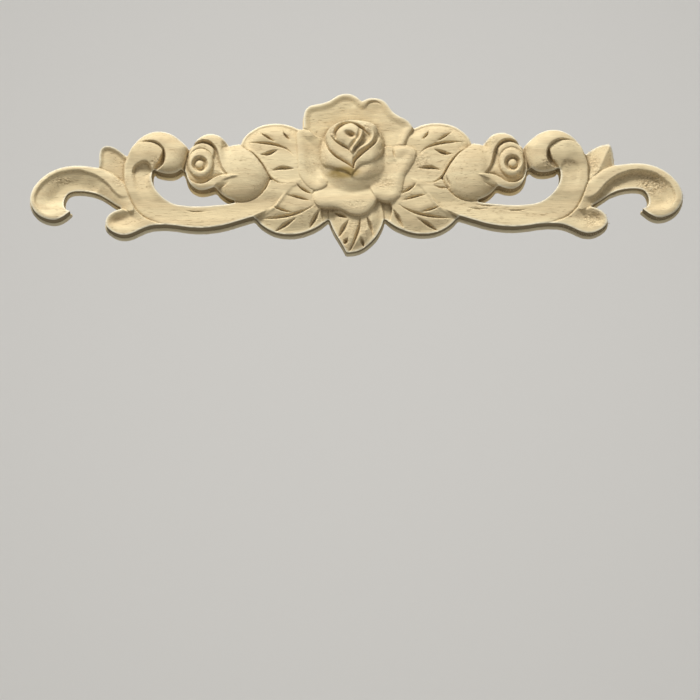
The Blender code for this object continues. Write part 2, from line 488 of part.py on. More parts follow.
def carve_cup(relief):
    """The closed middle of the rose, as shells that rise towards the heart."""

    def body(x, z, depth):
        return CUP_EDGE + 3.2 * bulge(depth / 5.5)

    def swell(x, z, depth):
        return 9.6 + 1.3 * bulge(depth / 3.5)

    def wrap(x, z, depth):
        return 9.9 + 2.6 * bulge(depth / 4.2) - 0.8 * ramp(z, 16, 23)

    def first(x, z, depth):
        return 10.6 + 2.6 * bulge(depth / 2.4)

    def second(x, z, depth):
        return 11.4 + 1.8 * bulge((np.hypot(x + 2, z - 14) - 2) / 7)

    def heart(x, z, depth):
        pit = np.hypot((x + 3.3) / 2.5, (z - 16.2 + 0.35 * (x + 3.3)) / 1.5)
        return HEART_TOP - 2.2 * (1 - bulge(depth / 3)) - 2.2 * (1 - ramp(pit, 0.2, 1.5))

    relief.lay(oval(CUP_CENTRE, CUP_RADII), body, wall=1.5 * WALL)
    relief.lay(oval((4.5, 0.2), (8.5, 4.4), turn=0.35), swell)
    relief.lay(outline(*WRAP), wrap)
    relief.lay(outline(*FIRST_MOUTH), first)
    relief.lay(outline(*SECOND_MOUTH), second)
    relief.lay(outline(*HEART), heart)


def carved_heights(x, z):
    relief = Relief(x, z, NOOK)
    carve_ends(relief)
    carve_scrolls(relief)
    carve_buds(relief)
    carve_leaves(relief)
    carve_petals(relief)
    carve_cup(relief)
    return relief.height


def sawn_outlines():
    """The plan outline of every form, so that together they give the sawn blank."""
    both_sides = [[HORN_BACK, HORN_NOTCH], [LOBE], [BRIDGE], [CURL_BED], [SWEEP_BACK, SWEEP_FOOT, SWEEP_OPENING],
                  [CREST_OUTER, CREST_INNER], [NECK, NECK_TOP, NECK_INNER], [BUD_TOP, BUD_HIDDEN, BUD_FOOT],
                  [UPPER_LEAF_EDGE, UPPER_LEAF_INNER], [LOWER_LEAF_EDGE, LOWER_LEAF_INNER]]
    middle = [[TONGUE_LEFT, TONGUE_RIGHT, TONGUE_TOP], [NORTH_WEST, NORTH_WEST_ROOT],
              [NORTH_EAST, NORTH_EAST_ROOT], [WEST, WEST_ROOT], [SOUTH, SOUTH_ROOT], [EAST, EAST_ROOT],
              [LEAFLET_RIGHT]]
    lines = [outline(*runs, steps=SAW_STEPS) for runs in both_sides + middle]
    mirrored = lines[:len(both_sides)] + [outline(LEAFLET_LEFT, steps=SAW_STEPS)]
    hip = oval(HIP_CENTRE, HIP_RADII)
    return lines + [hip] + [line * (-1, 1) for line in mirrored + [hip]] + [oval(CUP_CENTRE, CUP_RADII)]


def clear_scene():
    for found in list(bpy.context.scene.objects):
        bpy.data.objects.remove(found, do_unlink=True)


def new_collection(name):
    made = bpy.data.collections.new(name)
    bpy.context.scene.collection.children.link(made)
    return made


def add_object(name, mesh, collection):
    made = bpy.data.objects.new(name, mesh)
    collection.objects.link(made)
    return made


def evaluated_mesh(source, name):
    """The object's mesh with its modifiers applied and its transform baked in."""
    bpy.context.view_layer.update()
    graph = bpy.context.evaluated_depsgraph_get()
    mesh = bpy.data.meshes.new_from_object(source.evaluated_get(graph))
    mesh.transform(source.matrix_world)
    mesh.name = name
    return mesh


def carving_sheet(collection):
    """A grid over the plan, raised to the carved heights and thinned where it is smooth."""
    columns = round(GRID_LENGTH / GRID)
    rows = round(GRID_HEIGHT / GRID)
    bm = bmesh.new()
    bmesh.ops.create_grid(bm, x_segments=columns, y_segments=rows, size=0.5)
    plan = np.array([vertex.co[:2] for vertex in bm.verts]) * (GRID_LENGTH, GRID_HEIGHT)
    heights = carved_heights(plan[:, 0], plan[:, 1])
    for vertex, (x, z), height in zip(bm.verts, plan, heights):
        vertex.co = (x * MM, -height * MM, z * MM)
    for _ in range(SANDING_PASSES):
        bmesh.ops.smooth_vert(bm, verts=bm.verts, factor=0.3, use_axis_y=True)
    mesh = bpy.data.meshes.new("carving_sheet")
    bm.to_mesh(mesh)
    bm.free()
    sheet = add_object("carving_sheet", mesh, collection)
    thin = sheet.modifiers.new("thin", "DECIMATE")
    thin.ratio = KEEP_SHARE
    thin.use_collapse_triangulate = True
    thin.show_render = thin.show_viewport
    thinned = evaluated_mesh(sheet, "carving_sheet")
    bpy.data.objects.remove(sheet, do_unlink=True)
    return thinned


def carving_block(collection):
    """The sheet closed behind into a block."""
    bm = bmesh.new()
    bm.from_mesh(carving_sheet(collection))
    made = bmesh.ops.extrude_face_region(bm, geom=bm.faces[:])
    for item in made["geom"]:
        if isinstance(item, bmesh.types.BMVert):
            item.co.y = 2 * MM
    bmesh.ops.recalc_face_normals(bm, faces=bm.faces)
    mesh = bpy.data.meshes.new("carving_block")
    bm.to_mesh(mesh)
    bm.free()
    return mesh


def slab(lines, name, collection):
    """Outlines sawn out of a flat board, from the back plane forward."""
    curve = bpy.data.curves.new(name, "CURVE")
    curve.dimensions = "2D"
    curve.fill_mode = "BOTH"
    curve.extrude = BLANK_THICKNESS / 2 * MM
    for line in lines:
        spline = curve.splines.new("POLY")
        spline.points.add(len(line) - 1)
        for point, (x, z) in zip(spline.points, line):
            point.co = (x * MM, z * MM, 0, 1)
        spline.use_cyclic_u = True
    drawn = add_object(name, curve, collection)
    drawn.matrix_world = Matrix.Translation((0, -BLANK_THICKNESS / 2 * MM, 0)) @ Matrix.Rotation(math.pi / 2, 4, "X")
    bm = bmesh.new()
    bm.from_mesh(evaluated_mesh(drawn, name))
    bpy.data.objects.remove(drawn, do_unlink=True)
    bmesh.ops.remove_doubles(bm, verts=bm.verts, dist=0.001 * MM)
    bmesh.ops.recalc_face_normals(bm, faces=bm.faces)
    mesh = bpy.data.meshes.new(name)
    bm.to_mesh(mesh)
    bm.free()
    return add_object(name, mesh, collection)


def back_loops(mesh):
    """The lines where the sawn walls meet the flat back, in plan millimetres."""
    bm = bmesh.new()
    bm.from_mesh(mesh)
    bmesh.ops.remove_doubles(bm, verts=bm.verts, dist=0.01 * MM)
    neighbours = {}
    for edge in bm.edges:
        on_back = all(abs(vertex.co.y) < 0.01 * MM for vertex in edge.verts)
        flat = [abs(face.normal.y) > 0.5 for face in edge.link_faces]
        if on_back and sorted(flat) == [False, True]:
            for vertex in edge.verts:
                neighbours.setdefault(vertex, []).append(edge.other_vert(vertex))
    loops = []
    while neighbours:
        vertex = next(iter(neighbours))
        loop = []
        while vertex in neighbours:
            loop.append((vertex.co.x / MM, vertex.co.z / MM))
            following = [other for other in neighbours.pop(vertex) if other in neighbours]
            vertex = following[0] if following else None
        kept = loop[:1]
        for point in loop[1:]:
            if math.dist(point, kept[-1]) > SHORTEST_SIDE and math.dist(point, kept[0]) > SHORTEST_SIDE:
                kept.append(point)
        if len(kept) > FEWEST_OUTLINE_POINTS:
            loops.append(np.array(kept))
    bm.free()
    return loops


def sawn_blank(collection):
    """The forms' outlines joined into one board outline, with its two pierced openings."""
    slabs = new_collection("slabs")
    slabs.hide_render = True
    boards = [slab([line], f"slab_{i}", slabs) for i, line in enumerate(sawn_outlines())]
    first = boards[0]
    slabs.objects.unlink(first)
    collection.objects.link(first)
    join = first.modifiers.new("join", "BOOLEAN")
    join.operation = "UNION"
    join.solver = "EXACT"
    join.operand_type = "COLLECTION"
    join.collection = slabs
    join.show_render = join.show_viewport
    loops = back_loops(evaluated_mesh(first, "joined_boards"))
    for board in boards:
        bpy.data.objects.remove(board, do_unlink=True)
    bpy.data.collections.remove(slabs)
    return slab(loops, "sawn_blank", collection)


def wood_material():
    material = bpy.data.materials.new("rubberwood")
    material.use_nodes = True
    shader = material.node_tree.nodes["Principled BSDF"]
    shader.inputs["Base Color"].default_value = (0.66, 0.53, 0.35, 1)
    shader.inputs["Roughness"].default_value = 0.75
    shader.inputs["Metallic"].default_value = 0.0
    return material


def main():
    clear_scene()
    parts = new_collection("carved_wood_applique")
    cutters = new_collection("cutters")
    cutters.hide_render = True
    blank = sawn_blank(cutters)
    blank.display_type = "WIRE"
    block = add_object("carving_block", carving_block(cutters), cutters)
    saw = block.modifiers.new("saw", "BOOLEAN")
    saw.operation = "INTERSECT"
    saw.solver = "EXACT"
    saw.object = blank
    saw.show_render = saw.show_viewport
    bm = bmesh.new()
    bm.from_mesh(evaluated_mesh(block, "sawn_carving"))
    bmesh.ops.triangulate(bm, faces=bm.faces)
    bmesh.ops.dissolve_degenerate(bm, edges=bm.edges, dist=SLIVER * MM)
    mesh = bpy.data.meshes.new("applique")
    bm.to_mesh(mesh)
    bm.free()
    mesh.materials.append(wood_material())
    add_object("applique", mesh, parts)


main()
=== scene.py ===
# %% [markdown]
# # A carved rubberwood applique, built as a lesson
#
# The object is one of the small carved ornaments that are glued on a drawer front or over a
# mirror: a rose in the middle, five leaves round it, and on each side a rose hip with its bud,
# a C scroll, a small leaf and a hooked end scroll. It is 280 mm long, 71 mm high and not quite
# 15 mm thick, carved from one flat board of pale, unfinished rubberwood.
#
# Each cell below makes one thing and prints what it made or measured. Lengths in the carving
# cells are in millimetres, because that is how a carver marks out a board, and they become
# metres when the mesh is made.

import math

import bpy
import numpy as np
from mathutils import Matrix, Vector
from mathutils.geometry import delaunay_2d_cdt
from mathutils.kdtree import KDTree


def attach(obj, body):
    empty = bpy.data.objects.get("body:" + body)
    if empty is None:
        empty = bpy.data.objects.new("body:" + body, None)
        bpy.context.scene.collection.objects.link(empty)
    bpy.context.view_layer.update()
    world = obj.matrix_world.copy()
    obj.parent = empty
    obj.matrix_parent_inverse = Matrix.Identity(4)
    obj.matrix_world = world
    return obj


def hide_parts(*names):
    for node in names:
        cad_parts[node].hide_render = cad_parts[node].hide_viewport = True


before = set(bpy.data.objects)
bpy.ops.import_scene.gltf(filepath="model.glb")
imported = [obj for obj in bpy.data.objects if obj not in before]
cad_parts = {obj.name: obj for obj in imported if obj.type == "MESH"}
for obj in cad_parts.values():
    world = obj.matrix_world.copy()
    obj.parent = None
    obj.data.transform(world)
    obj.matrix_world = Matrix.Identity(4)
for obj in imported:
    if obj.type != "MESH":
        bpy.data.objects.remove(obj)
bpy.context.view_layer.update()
MM = 0.001

# %% [markdown]
# ## The camera
#
# The photograph looks at the carving almost square on, from 17 degrees below the line that
# stands straight out of its face, and from far away, so that nothing in it converges. A long
# lens does that. The camera stands on that line, and is then turned down a little, because the
# carving lies in the upper half of the picture. Moving the picture with the lens shift instead
# would carry over into every other view.

# %% Camera
DISTANCE = 1.6
BELOW_SQUARE = math.radians(17)
PIXELS_PER_METRE = 2325
PHOTO_SIDE = 700
SENSOR_WIDTH = 36
DOWN_IN_PHOTO = 0.07415
LEFT_IN_PHOTO = 0.003
ROLL = math.radians(-0.25)

turned_down = math.atan(DOWN_IN_PHOTO / DISTANCE)
lens = bpy.data.cameras.new("long_lens")
lens.sensor_width = SENSOR_WIDTH
lens.lens = PIXELS_PER_METRE * DISTANCE * math.cos(turned_down) * SENSOR_WIDTH / PHOTO_SIDE
camera = bpy.data.objects.new("photo_camera", lens)
bpy.context.scene.collection.objects.link(camera)
standing = Vector((-LEFT_IN_PHOTO, -DISTANCE * math.cos(BELOW_SQUARE), -DISTANCE * math.sin(BELOW_SQUARE)))
tilt = Matrix.Rotation(math.pi / 2 + BELOW_SQUARE - turned_down, 4, "X")
camera.matrix_world = Matrix.Translation(standing) @ tilt @ Matrix.Rotation(ROLL, 4, "Z")
bpy.context.scene.camera = camera
print(f"lens {lens.lens:.0f} mm, camera at {[round(v, 3) for v in standing]}")

# %% [markdown]
# ## Floor and backdrop
#
# A photographer would hang a roll of pale paper behind the carving and let it curve forward into
# a floor. One strip of faces does the same, and one curve is simpler to light evenly than a
# floor and a wall that meet in a corner. The floor is far down and the paper far back, so a
# camera may walk all the way round without either of them getting in front of it.

# %% Paper sweep
FLOOR_DOWN = 1.75
FLOOR_FORWARD = 4.0
PAPER_BACK = 2.6
PAPER_HALF_WIDTH = 6.0
PAPER_HIGH = 4.0
PAPER_COLOUR = (0.72, 0.71, 0.69, 1)
PAPER_ROUGHNESS = 0.9
BEND_RADIUS = 0.9
BEND_STEPS = 16

profile = [(-FLOOR_FORWARD, -FLOOR_DOWN)]
for i in range(BEND_STEPS + 1):
    turn = math.pi / 2 * i / BEND_STEPS
    back = PAPER_BACK - BEND_RADIUS * (1 - math.sin(turn))
    profile.append((back, -FLOOR_DOWN + BEND_RADIUS * (1 - math.cos(turn))))
profile.append((PAPER_BACK, PAPER_HIGH))
paper_points = [(side * PAPER_HALF_WIDTH, y, z) for y, z in profile for side in (-1, 1)]
paper_faces = [(2 * i, 2 * i + 1, 2 * i + 3, 2 * i + 2) for i in range(len(profile) - 1)]
paper_mesh = bpy.data.meshes.new("paper_sweep")
paper_mesh.from_pydata(paper_points, [], paper_faces)
paper_mesh.shade_smooth()
paper = bpy.data.objects.new("paper_sweep", paper_mesh)
bpy.context.scene.collection.objects.link(paper)

pale_paper = bpy.data.materials.new("pale_paper")
pale_paper.use_nodes = True
pale_paper.node_tree.nodes["Principled BSDF"].inputs["Base Color"].default_value = PAPER_COLOUR
pale_paper.node_tree.nodes["Principled BSDF"].inputs["Roughness"].default_value = PAPER_ROUGHNESS
paper_mesh.materials.append(pale_paper)
print("paper sweep:", len(paper_faces), "faces")

# %% [markdown]
# ## Light
#
# Low relief only shows in raking light. A soft lamp stands high and to the left, as in the
# photograph, and gives every form a bright upper side and a short shadow. A broad, weak one in
# front keeps the shadows open. A third lights the back and the upper walls, and a fourth shines
# on the paper alone, so that it stays pale and even. A little warm air fills what is left.


# %% Lamps
def soft_lamp(name, place, size, watts, colour=(1, 1, 1), aim=(0, 0, 0)):
    """A square soft box at a place, turned to face the carving or another aim."""
    light = bpy.data.lights.new(name, "AREA")
    light.size = size
    light.energy = watts
    light.color = colour
    lamp = bpy.data.objects.new(name, light)
    bpy.context.scene.collection.objects.link(lamp)
    facing = (Vector(place) - Vector(aim)).to_track_quat("Z", "Y")
    lamp.matrix_world = Matrix.Translation(place) @ facing.to_matrix().to_4x4()
    return lamp


soft_lamp("key_above_left", (-0.52, -0.82, 1.22), size=0.42, watts=34, colour=(1.0, 0.985, 0.95))
soft_lamp("fill_front", (0.8, -1.8, 0.4), size=1.2, watts=5.5, colour=(1.0, 0.98, 0.92))
soft_lamp("behind_above", (0.5, 1.3, 1.2), size=0.8, watts=22)
soft_lamp("paper_wash", (0.0, 1.0, 1.0), size=1.2, watts=13, aim=(0, PAPER_BACK, 0))

AIR_COLOUR = (0.90, 0.88, 0.83, 1)
AIR_STRENGTH = 0.2
air = bpy.data.worlds.new("studio_air")
air.use_nodes = True
air.node_tree.nodes["Background"].inputs["Color"].default_value = AIR_COLOUR
air.node_tree.nodes["Background"].inputs["Strength"].default_value = AIR_STRENGTH
bpy.context.scene.world = air
bpy.context.scene.view_settings.view_transform = "Standard"

# %% [markdown]
# ## The sawn outline
#
# On the real thing the outline is sawn first, all the way round and out of the two openings,
# and the carving comes after. The packed model already has that outline: it is the border of
# its flat back. It could be drawn a second time, but it is read from there, so that the piece
# made here can't stray from the solid it stands for. A border edge is one that only a single
# back face uses.


# %% Read the outline from the model's back
def border_lines(mesh):
    """The closed lines round the flat back, as x and z in millimetres."""
    spot = [(round(v.co.x / MM, 3), round(v.co.z / MM, 3)) for v in mesh.vertices]
    edges = set()
    for face in mesh.polygons:
        if all(abs(mesh.vertices[i].co.y) < 0.001 * MM for i in face.vertices):
            ring = [spot[i] for i in face.vertices]
            edges |= set(zip(ring, ring[1:] + ring[:1]))
    following = {start: end for start, end in edges if (end, start) not in edges}
    lines = []
    while following:
        start = next(iter(following))
        line = []
        while start in following:
            line.append(start)
            start = following.pop(start)
        lines.append(np.array(line))
    return sorted(lines, key=len, reverse=True)


sawn_lines = border_lines(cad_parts["applique"].data)
print("sawn lines:", [len(line) for line in sawn_lines], "points")

# %% [markdown]
# ## Easing the outline
#
# The model's outline has steps of about two millimetres. Each is divided into shorter ones, and
# every point is then moved a little towards the middle of its neighbours a few times. That is
# what sanding does to a sawn edge: corners go first.

# %% Ease the outline
OUTLINE_STEP = 0.5
EASING_PASSES = 6


def divided(line, step):
    """The closed line with points no further apart than the step."""
    pieces = []
    for start, end in zip(line, np.roll(line, -1, axis=0)):
        count = max(1, math.ceil(math.dist(start, end) / step))
        share = np.arange(count)[:, None] / count
        pieces.append(start + (end - start) * share)
    return np.concatenate(pieces)


def eased(line, passes):
    """The closed line after each point has moved towards its neighbours so many times."""
    for _ in range(passes):
        line = 0.5 * line + 0.25 * (np.roll(line, 1, axis=0) + np.roll(line, -1, axis=0))
    return line


sawn_lines = [eased(divided(line, OUTLINE_STEP), EASING_PASSES) for line in sawn_lines]
print("eased lines:", [len(line) for line in sawn_lines], "points")

# %% [markdown]
# ## The carved edge
#
# The carved edge lies half a millimetre inside the sawn one. Close to the back of the real
# piece a thin ledge of the board was left standing, and it shows as a pale line under the dark
# side of each leaf. Moving a line sideways makes it fold over itself where it turns sharply, as
# at the tip of a hook, so those places are eased until they lie open again.

# %% Set the carved edge inside the sawn one
LEDGE_WIDTH = 0.5
FOLD_PASSES = 30
FOLD_SHARE = 0.2


def signed_area(line):
    """The area inside a closed line, negative when the line runs clockwise."""
    x, z = line.T
    return 0.5 * np.sum(x * np.roll(z, -1) - z * np.roll(x, -1))


wood_side = math.copysign(1, signed_area(sawn_lines[0]))


def inward(line):
    """Unit vectors across the line, pointing into the wood."""
    along = np.roll(line, -1, axis=0) - np.roll(line, 1, axis=0)
    across = np.stack([-along[:, 1], along[:, 0]], axis=1) * wood_side
    return across / np.hypot(*across.T)[:, None]


def moved_inward(line, width):
    """The line moved into the wood, and eased wherever it would fold over itself at a sharp tip."""
    moved = line + width * inward(line)
    for _ in range(FOLD_PASSES):
        step = np.roll(moved, -1, axis=0) - moved
        before = np.roll(line, -1, axis=0) - line
        folded = np.sum(step * before, axis=1) < FOLD_SHARE * np.sum(before**2, axis=1)
        folded = folded | np.roll(folded, 1) | np.roll(folded, -1) | np.roll(folded, 2)
        moved = np.where(folded[:, None], eased(moved, 1), moved)
    return moved


carved_lines = [moved_inward(line, LEDGE_WIDTH) for line in sawn_lines]
print("area inside each carved line:", [round(signed_area(line)) for line in carved_lines], "square mm")

# %% [markdown]
# ## Where the heights are worked out
#
# A relief has one height above its back for every spot of its plan, so the whole carving can be
# written as a height over a fine grid. This is much quicker to shape than a mesh that is pushed
# about, and it can't fold over itself. The grid is a quarter of a millimetre, about half of one
# pixel of the picture. Only spots inside the carved edge are used. They are found row by row:
# a spot is inside when the number of outline crossings to its left is odd. The spots right
# beside the edge are noted, because they would make slivers with its own points later on.

# %% Plan grid
GRID = 0.25
HALF_LENGTH = 141.0
HALF_HEIGHT = 36.5
CLOSE_STEP = 0.05

grid_x = np.arange(-HALF_LENGTH, HALF_LENGTH + GRID / 2, GRID)
grid_z = np.arange(-HALF_HEIGHT, HALF_HEIGHT + GRID / 2, GRID)
starts = np.concatenate(carved_lines)
ends = np.concatenate([np.roll(line, -1, axis=0) for line in carved_lines])


def inside_row(z):
    """Which spots of one row of the grid lie in the wood."""
    crosses = (starts[:, 1] > z) != (ends[:, 1] > z)
    (ax, az), (bx, bz) = starts[crosses].T, ends[crosses].T
    return np.searchsorted(np.sort(ax + (z - az) / (bz - az) * (bx - ax)), grid_x) % 2 == 1


inside = np.array([inside_row(z) for z in grid_z])
near_edge = np.zeros(inside.shape, bool)
for line in carved_lines:
    close = divided(line, CLOSE_STEP)
    near_edge[np.round((close[:, 1] - grid_z[0]) / GRID).astype(int),
              np.round((close[:, 0] - grid_x[0]) / GRID).astype(int)] = True
rows, columns = np.nonzero(inside)
plan = np.concatenate([np.stack([grid_x[columns], grid_z[rows]], axis=1)] + carved_lines)
print(f"{len(rows)} grid spots, {len(plan) - len(rows)} spots on the carved edge")

# %% [markdown]
# ## Lines a carver draws
#
# Every form of the carving starts as an outline on the wood. A smooth line is drawn through a
# few points: each stretch between two of them is a cubic curve that also looks at the points
# before and after. A form with corners is drawn as several runs that meet in those corners.

# %% Smooth lines
CURVE_STEPS = 5


def smooth_line(points, closed=False):
    """A smooth line through the points."""
    p = np.array(points, float)
    count = len(p)
    t = np.linspace(0, 1, CURVE_STEPS, endpoint=False)[:, None]
    pieces = []
    for i in range(count if closed else count - 1):
        b, c = p[i], p[(i + 1) % count]
        a = p[i - 1] if closed or i > 0 else b
        d = p[(i + 2) % count] if closed or i + 2 < count else c
        bend = (2 * a - 5 * b + 4 * c - d) * t**2 + (3 * b - a - 3 * c + d) * t**3
        pieces.append(b + 0.5 * ((c - a) * t + bend))
    return np.concatenate(pieces if closed else pieces + [p[-1:]])


def outline(*runs):
    """One smooth closed line, or several runs that meet in corners."""
    if len(runs) == 1:
        return smooth_line(runs[0], True)
    return np.concatenate([smooth_line(run)[:-1] for run in runs])


def oval(centre, radii, turn=0.0, count=64):
    """A closed oval, turned by an angle in radians."""
    angle = np.linspace(0, 2 * math.pi, count, endpoint=False)
    u, v = radii[0] * np.cos(angle), radii[1] * np.sin(angle)
    return np.stack([centre[0] + u * math.cos(turn) - v * math.sin(turn),
                     centre[1] + u * math.sin(turn) + v * math.cos(turn)], axis=1)


print("an oval with radii of 2 and 1 mm encloses", round(signed_area(oval((0, 0), (2, 1))), 2), "square mm")

# %% [markdown]
# ## Distances and soft steps
#
# Most of what a surface needs is how far a spot is from a line. `nearest` gives that, with the
# side of the line and the share of its length. `depth_inside` is the distance in from a closed
# line. `ramp` turns a distance into a soft step, and `bulge` into a rounded edge.


# %% Distances
def nearest(x, z, line, closed=False):
    """Distance to a line, the side of it (1 is left) and how far along it, from 0 to 1."""
    first = line if closed else line[:-1]
    last = np.roll(line, -1, axis=0) if closed else line[1:]
    lengths = np.hypot(*(last - first).T)
    before = np.concatenate([[0.0], np.cumsum(lengths)])
    best, side, along = np.full(x.shape, np.inf), np.zeros(x.shape), np.zeros(x.shape)
    for (ax, az), (bx, bz), length, start in zip(first, last, lengths, before):
        ux, uz = (bx - ax) / length, (bz - az) / length
        t = np.clip((x - ax) * ux + (z - az) * uz, 0, length)
        dx, dz = x - ax - t * ux, z - az - t * uz
        gap = dx**2 + dz**2
        closer = np.nonzero(gap < best)[0]
        best[closer] = gap[closer]
        side[closer] = np.sign(ux * dz[closer] - uz * dx[closer])
        along[closer] = (start + t[closer]) / before[-1]
    return np.sqrt(best), side, along


def distance_to(x, z, points):
    """Distance to the smooth line through the points."""
    return nearest(x, z, smooth_line(points))[0]


def enclosed(x, z, firsts, lasts):
    """Whether each spot lies inside the closed lines made of these segments."""
    odd = np.zeros(x.shape, bool)
    for (ax, az), (bx, bz) in zip(firsts, lasts):
        if az != bz:
            odd ^= ((az > z) != (bz > z)) & (x < ax + (z - az) * (bx - ax) / (bz - az))
    return odd


def depth_inside(x, z, line):
    """Distance in from a closed line, negative outside it."""
    gap = nearest(x, z, line, closed=True)[0]
    return np.where(enclosed(x, z, line, np.roll(line, -1, axis=0)), gap, -gap)


def ramp(value, start, end):
    """0 up to start, 1 from end on, and an S between them."""
    t = np.clip((value - start) / (end - start), 0, 1)
    return t * t * (3 - 2 * t)


def bulge(t):
    """Quarter round: 0 at the edge, 1 from t = 1 on."""
    return np.sqrt(1 - (1 - np.clip(t, 0, 1)) ** 2)


print("ramp from 1 to 3 at 1.5, 2 and 2.5:", [round(float(ramp(v, 1, 3)), 2) for v in (1.5, 2, 2.5)])

# %% [markdown]
# ## A carver's tools
#
# Laying a form puts its surface over what was there, with a short wall along the outline, so
# the forms are laid from the back to the front, the way one paper shape is stuck over another.
# Sinking lowers the wood inside an outline. Cutting runs a knife along a line: its groove tapers
# to nothing at both ends, and on one side the wood may slope gently down to it.
#
# Each tool can work on both halves at once, because the outlines are drawn on the right half
# and the left half is read as its mirror image. `only` keeps a tool to one half, since the two
# sides of a hand-finished piece are never quite alike.

# %% Lay, sink and cut
WALL = 0.55
BOARD_LEFT = 5.0
VEIN_DEPTH = 1.4
SLOPE_SHARE = 0.55
CUT_TAPER = 0.42


class Relief:
    """Heights over the plan, built up form by form as a carver lays them out."""

    def __init__(self, x, z, base):
        self.x, self.z = x, z
        self.height = np.full(x.shape, base)

    def pick(self, line, margin, mirrored, only):
        """The spots near a line, with their places as seen from the drawn half."""
        x = np.abs(self.x) if mirrored else self.x
        low, high = line.min(axis=0) - margin, line.max(axis=0) + margin
        near = (x > low[0]) & (x < high[0]) & (self.z > low[1]) & (self.z < high[1])
        if only:
            near &= self.x * only > 0
        chosen = np.nonzero(near)[0]
        return chosen, x[chosen], self.z[chosen]

    def lay(self, line, surface, wall=WALL, mirrored=False, only=0):
        """Puts a form over what is there, with a short wall along its outline."""
        chosen, x, z = self.pick(line, wall, mirrored, only)
        depth = depth_inside(x, z, line)
        share = ramp(depth / wall, -0.5, 0.5)
        self.height[chosen] += share * (surface(x, z, depth) - self.height[chosen])

    def sink(self, line, amount, mirrored=False, only=0):
        """Lowers the wood inside an outline by an amount."""
        chosen, x, z = self.pick(line, 0, mirrored, only)
        depth = depth_inside(x, z, line)
        self.height[chosen] -= np.where(depth > 0, amount(x, z, depth), 0)

    def cut(self, points, width, slope, deep=VEIN_DEPTH, mirrored=False, only=0):
        """A pointed knife cut along a line, with a gentle slope down to it on one side."""
        line = smooth_line(points)
        reach = max(width, abs(slope))
        chosen, x, z = self.pick(line, reach, mirrored, only)
        gap, side, along = nearest(x, z, line)
        taper = np.clip(np.minimum(along, 1 - along) / CUT_TAPER, 0, 1) ** 0.75
        knife = np.clip(taper - gap / width, 0, 1)
        gentle = np.where(side * slope > 0, np.clip(1 - gap / reach, 0, 1) ** 1.5, 0) * taper
        self.height[chosen] -= deep * (knife + SLOPE_SHARE * np.maximum(gentle, knife))


def flat(level):
    """A level surface."""
    return lambda x, z, depth: np.full(x.shape, level)


relief = Relief(plan[:, 0], plan[:, 1], BOARD_LEFT)
print("the board is cut down to", BOARD_LEFT, "mm before any form is laid")

# %% [markdown]
# ## Small leaves
#
# A small leaf stands up behind each end scroll. The two differ on the real piece: the left one
# is a smooth scoop with a lip round its tip, and the right one has a ridge from its tip down to
# its root with a flat on each side. So each half gets its own outline and its own surface.

# %% Small leaves
LEAFLET_LEFT = [(109.8, 1.0), (110.3, 5.0), (110.5, 7.8), (110.0, 10.2), (108.8, 11.8), (107.0, 12.4),
                (105.0, 12.2), (102.6, 11.3), (100.4, 9.8), (98.3, 8.0), (94.0, 4.0), (96.0, -5.0),
                (103.0, -3.0)]
LEAFLET_RIGHT = [(109.8, 1.0), (110.7, 4.5), (110.6, 7.8), (109.8, 10.9), (108.8, 12.3), (107.0, 12.5),
                 (104.4, 12.2), (101.6, 10.9), (98.3, 8.4), (94.0, 4.0), (96.0, -5.0), (103.0, -3.0)]
LEAFLET_RIDGE = [(109.0, 11.5), (106.5, 6.5), (104.2, 1.1), (101.8, -3.0)]


def scooped_leaf(x, z, depth):
    """The left leaf: it rises outwards and has a lip along its free edge."""
    lean = ramp(x + 0.25 * z, 99.5, 110.0)
    lip = ramp(-depth, -2.6, -0.6) * ramp(z, 1, 6)
    return 6.6 + 1.5 * lean + 1.1 * lip - 0.8 * (1 - bulge(depth / 0.8))


def ridged_leaf(x, z, depth):
    """The right leaf: it falls away on both sides of its ridge."""
    gap = distance_to(x, z, LEAFLET_RIDGE)
    return 8.6 - 0.42 * np.minimum(gap, 6) - 0.6 * (1 - bulge(depth / 0.7))


relief.lay(outline(LEAFLET_LEFT), scooped_leaf, mirrored=True, only=-1)
relief.lay(outline(LEAFLET_RIGHT), ridged_leaf, mirrored=True, only=1)
print("small leaves laid, highest", relief.height.max().round(2))

# %% [markdown]
# ## Lobes
#
# Below each end scroll a round lobe runs back along the foot of the sweep. It is shaped like
# the bowl of a spoon, and the hollow fades out where the handle would start.

# %% Lobes
SCROLL_RIM = 9.0
LOBE_HOLLOW = 2.6
LOBE = [(92.0, -16.0), (96.5, -14.0), (100.5, -15.6), (102.9, -16.3), (105.1, -17.5), (106.9, -19.6),
        (107.6, -22.2), (106.9, -24.2), (105.5, -25.6), (103.2, -27.1), (100.5, -28.0), (97.7, -28.0),
        (94.9, -27.1), (92.2, -25.7), (88.9, -24.3), (85.7, -23.7), (81.0, -23.6), (76.0, -23.8),
        (80.0, -20.0)]


def lobe(x, z, depth):
    """A spoon: a rounded border, and a hollow that fades out towards the sweep."""
    hollow = ramp(depth, 0.9, 5.2) * ramp(x, 88, 103) * ramp(z, -27.5, -18)
    return SCROLL_RIM - 0.3 - LOBE_HOLLOW * hollow - 0.9 * (1 - bulge(depth))


relief.lay(outline(LOBE), lobe, mirrored=True)
print("lobes laid, highest", relief.height.max().round(2))

# %% [markdown]
# ## End scrolls
#
# An end scroll is a thick band that bends down into a hook. A hollow runs between its rounded
# back and its notch, and it is deepest where the hook turns. A carver takes it out with one
# broad gouge: a short steep step inside the rim, then a long slope down. On the left the rim is
# narrow and the slope long. On the right the rim is wide and the floor rises towards the notch.

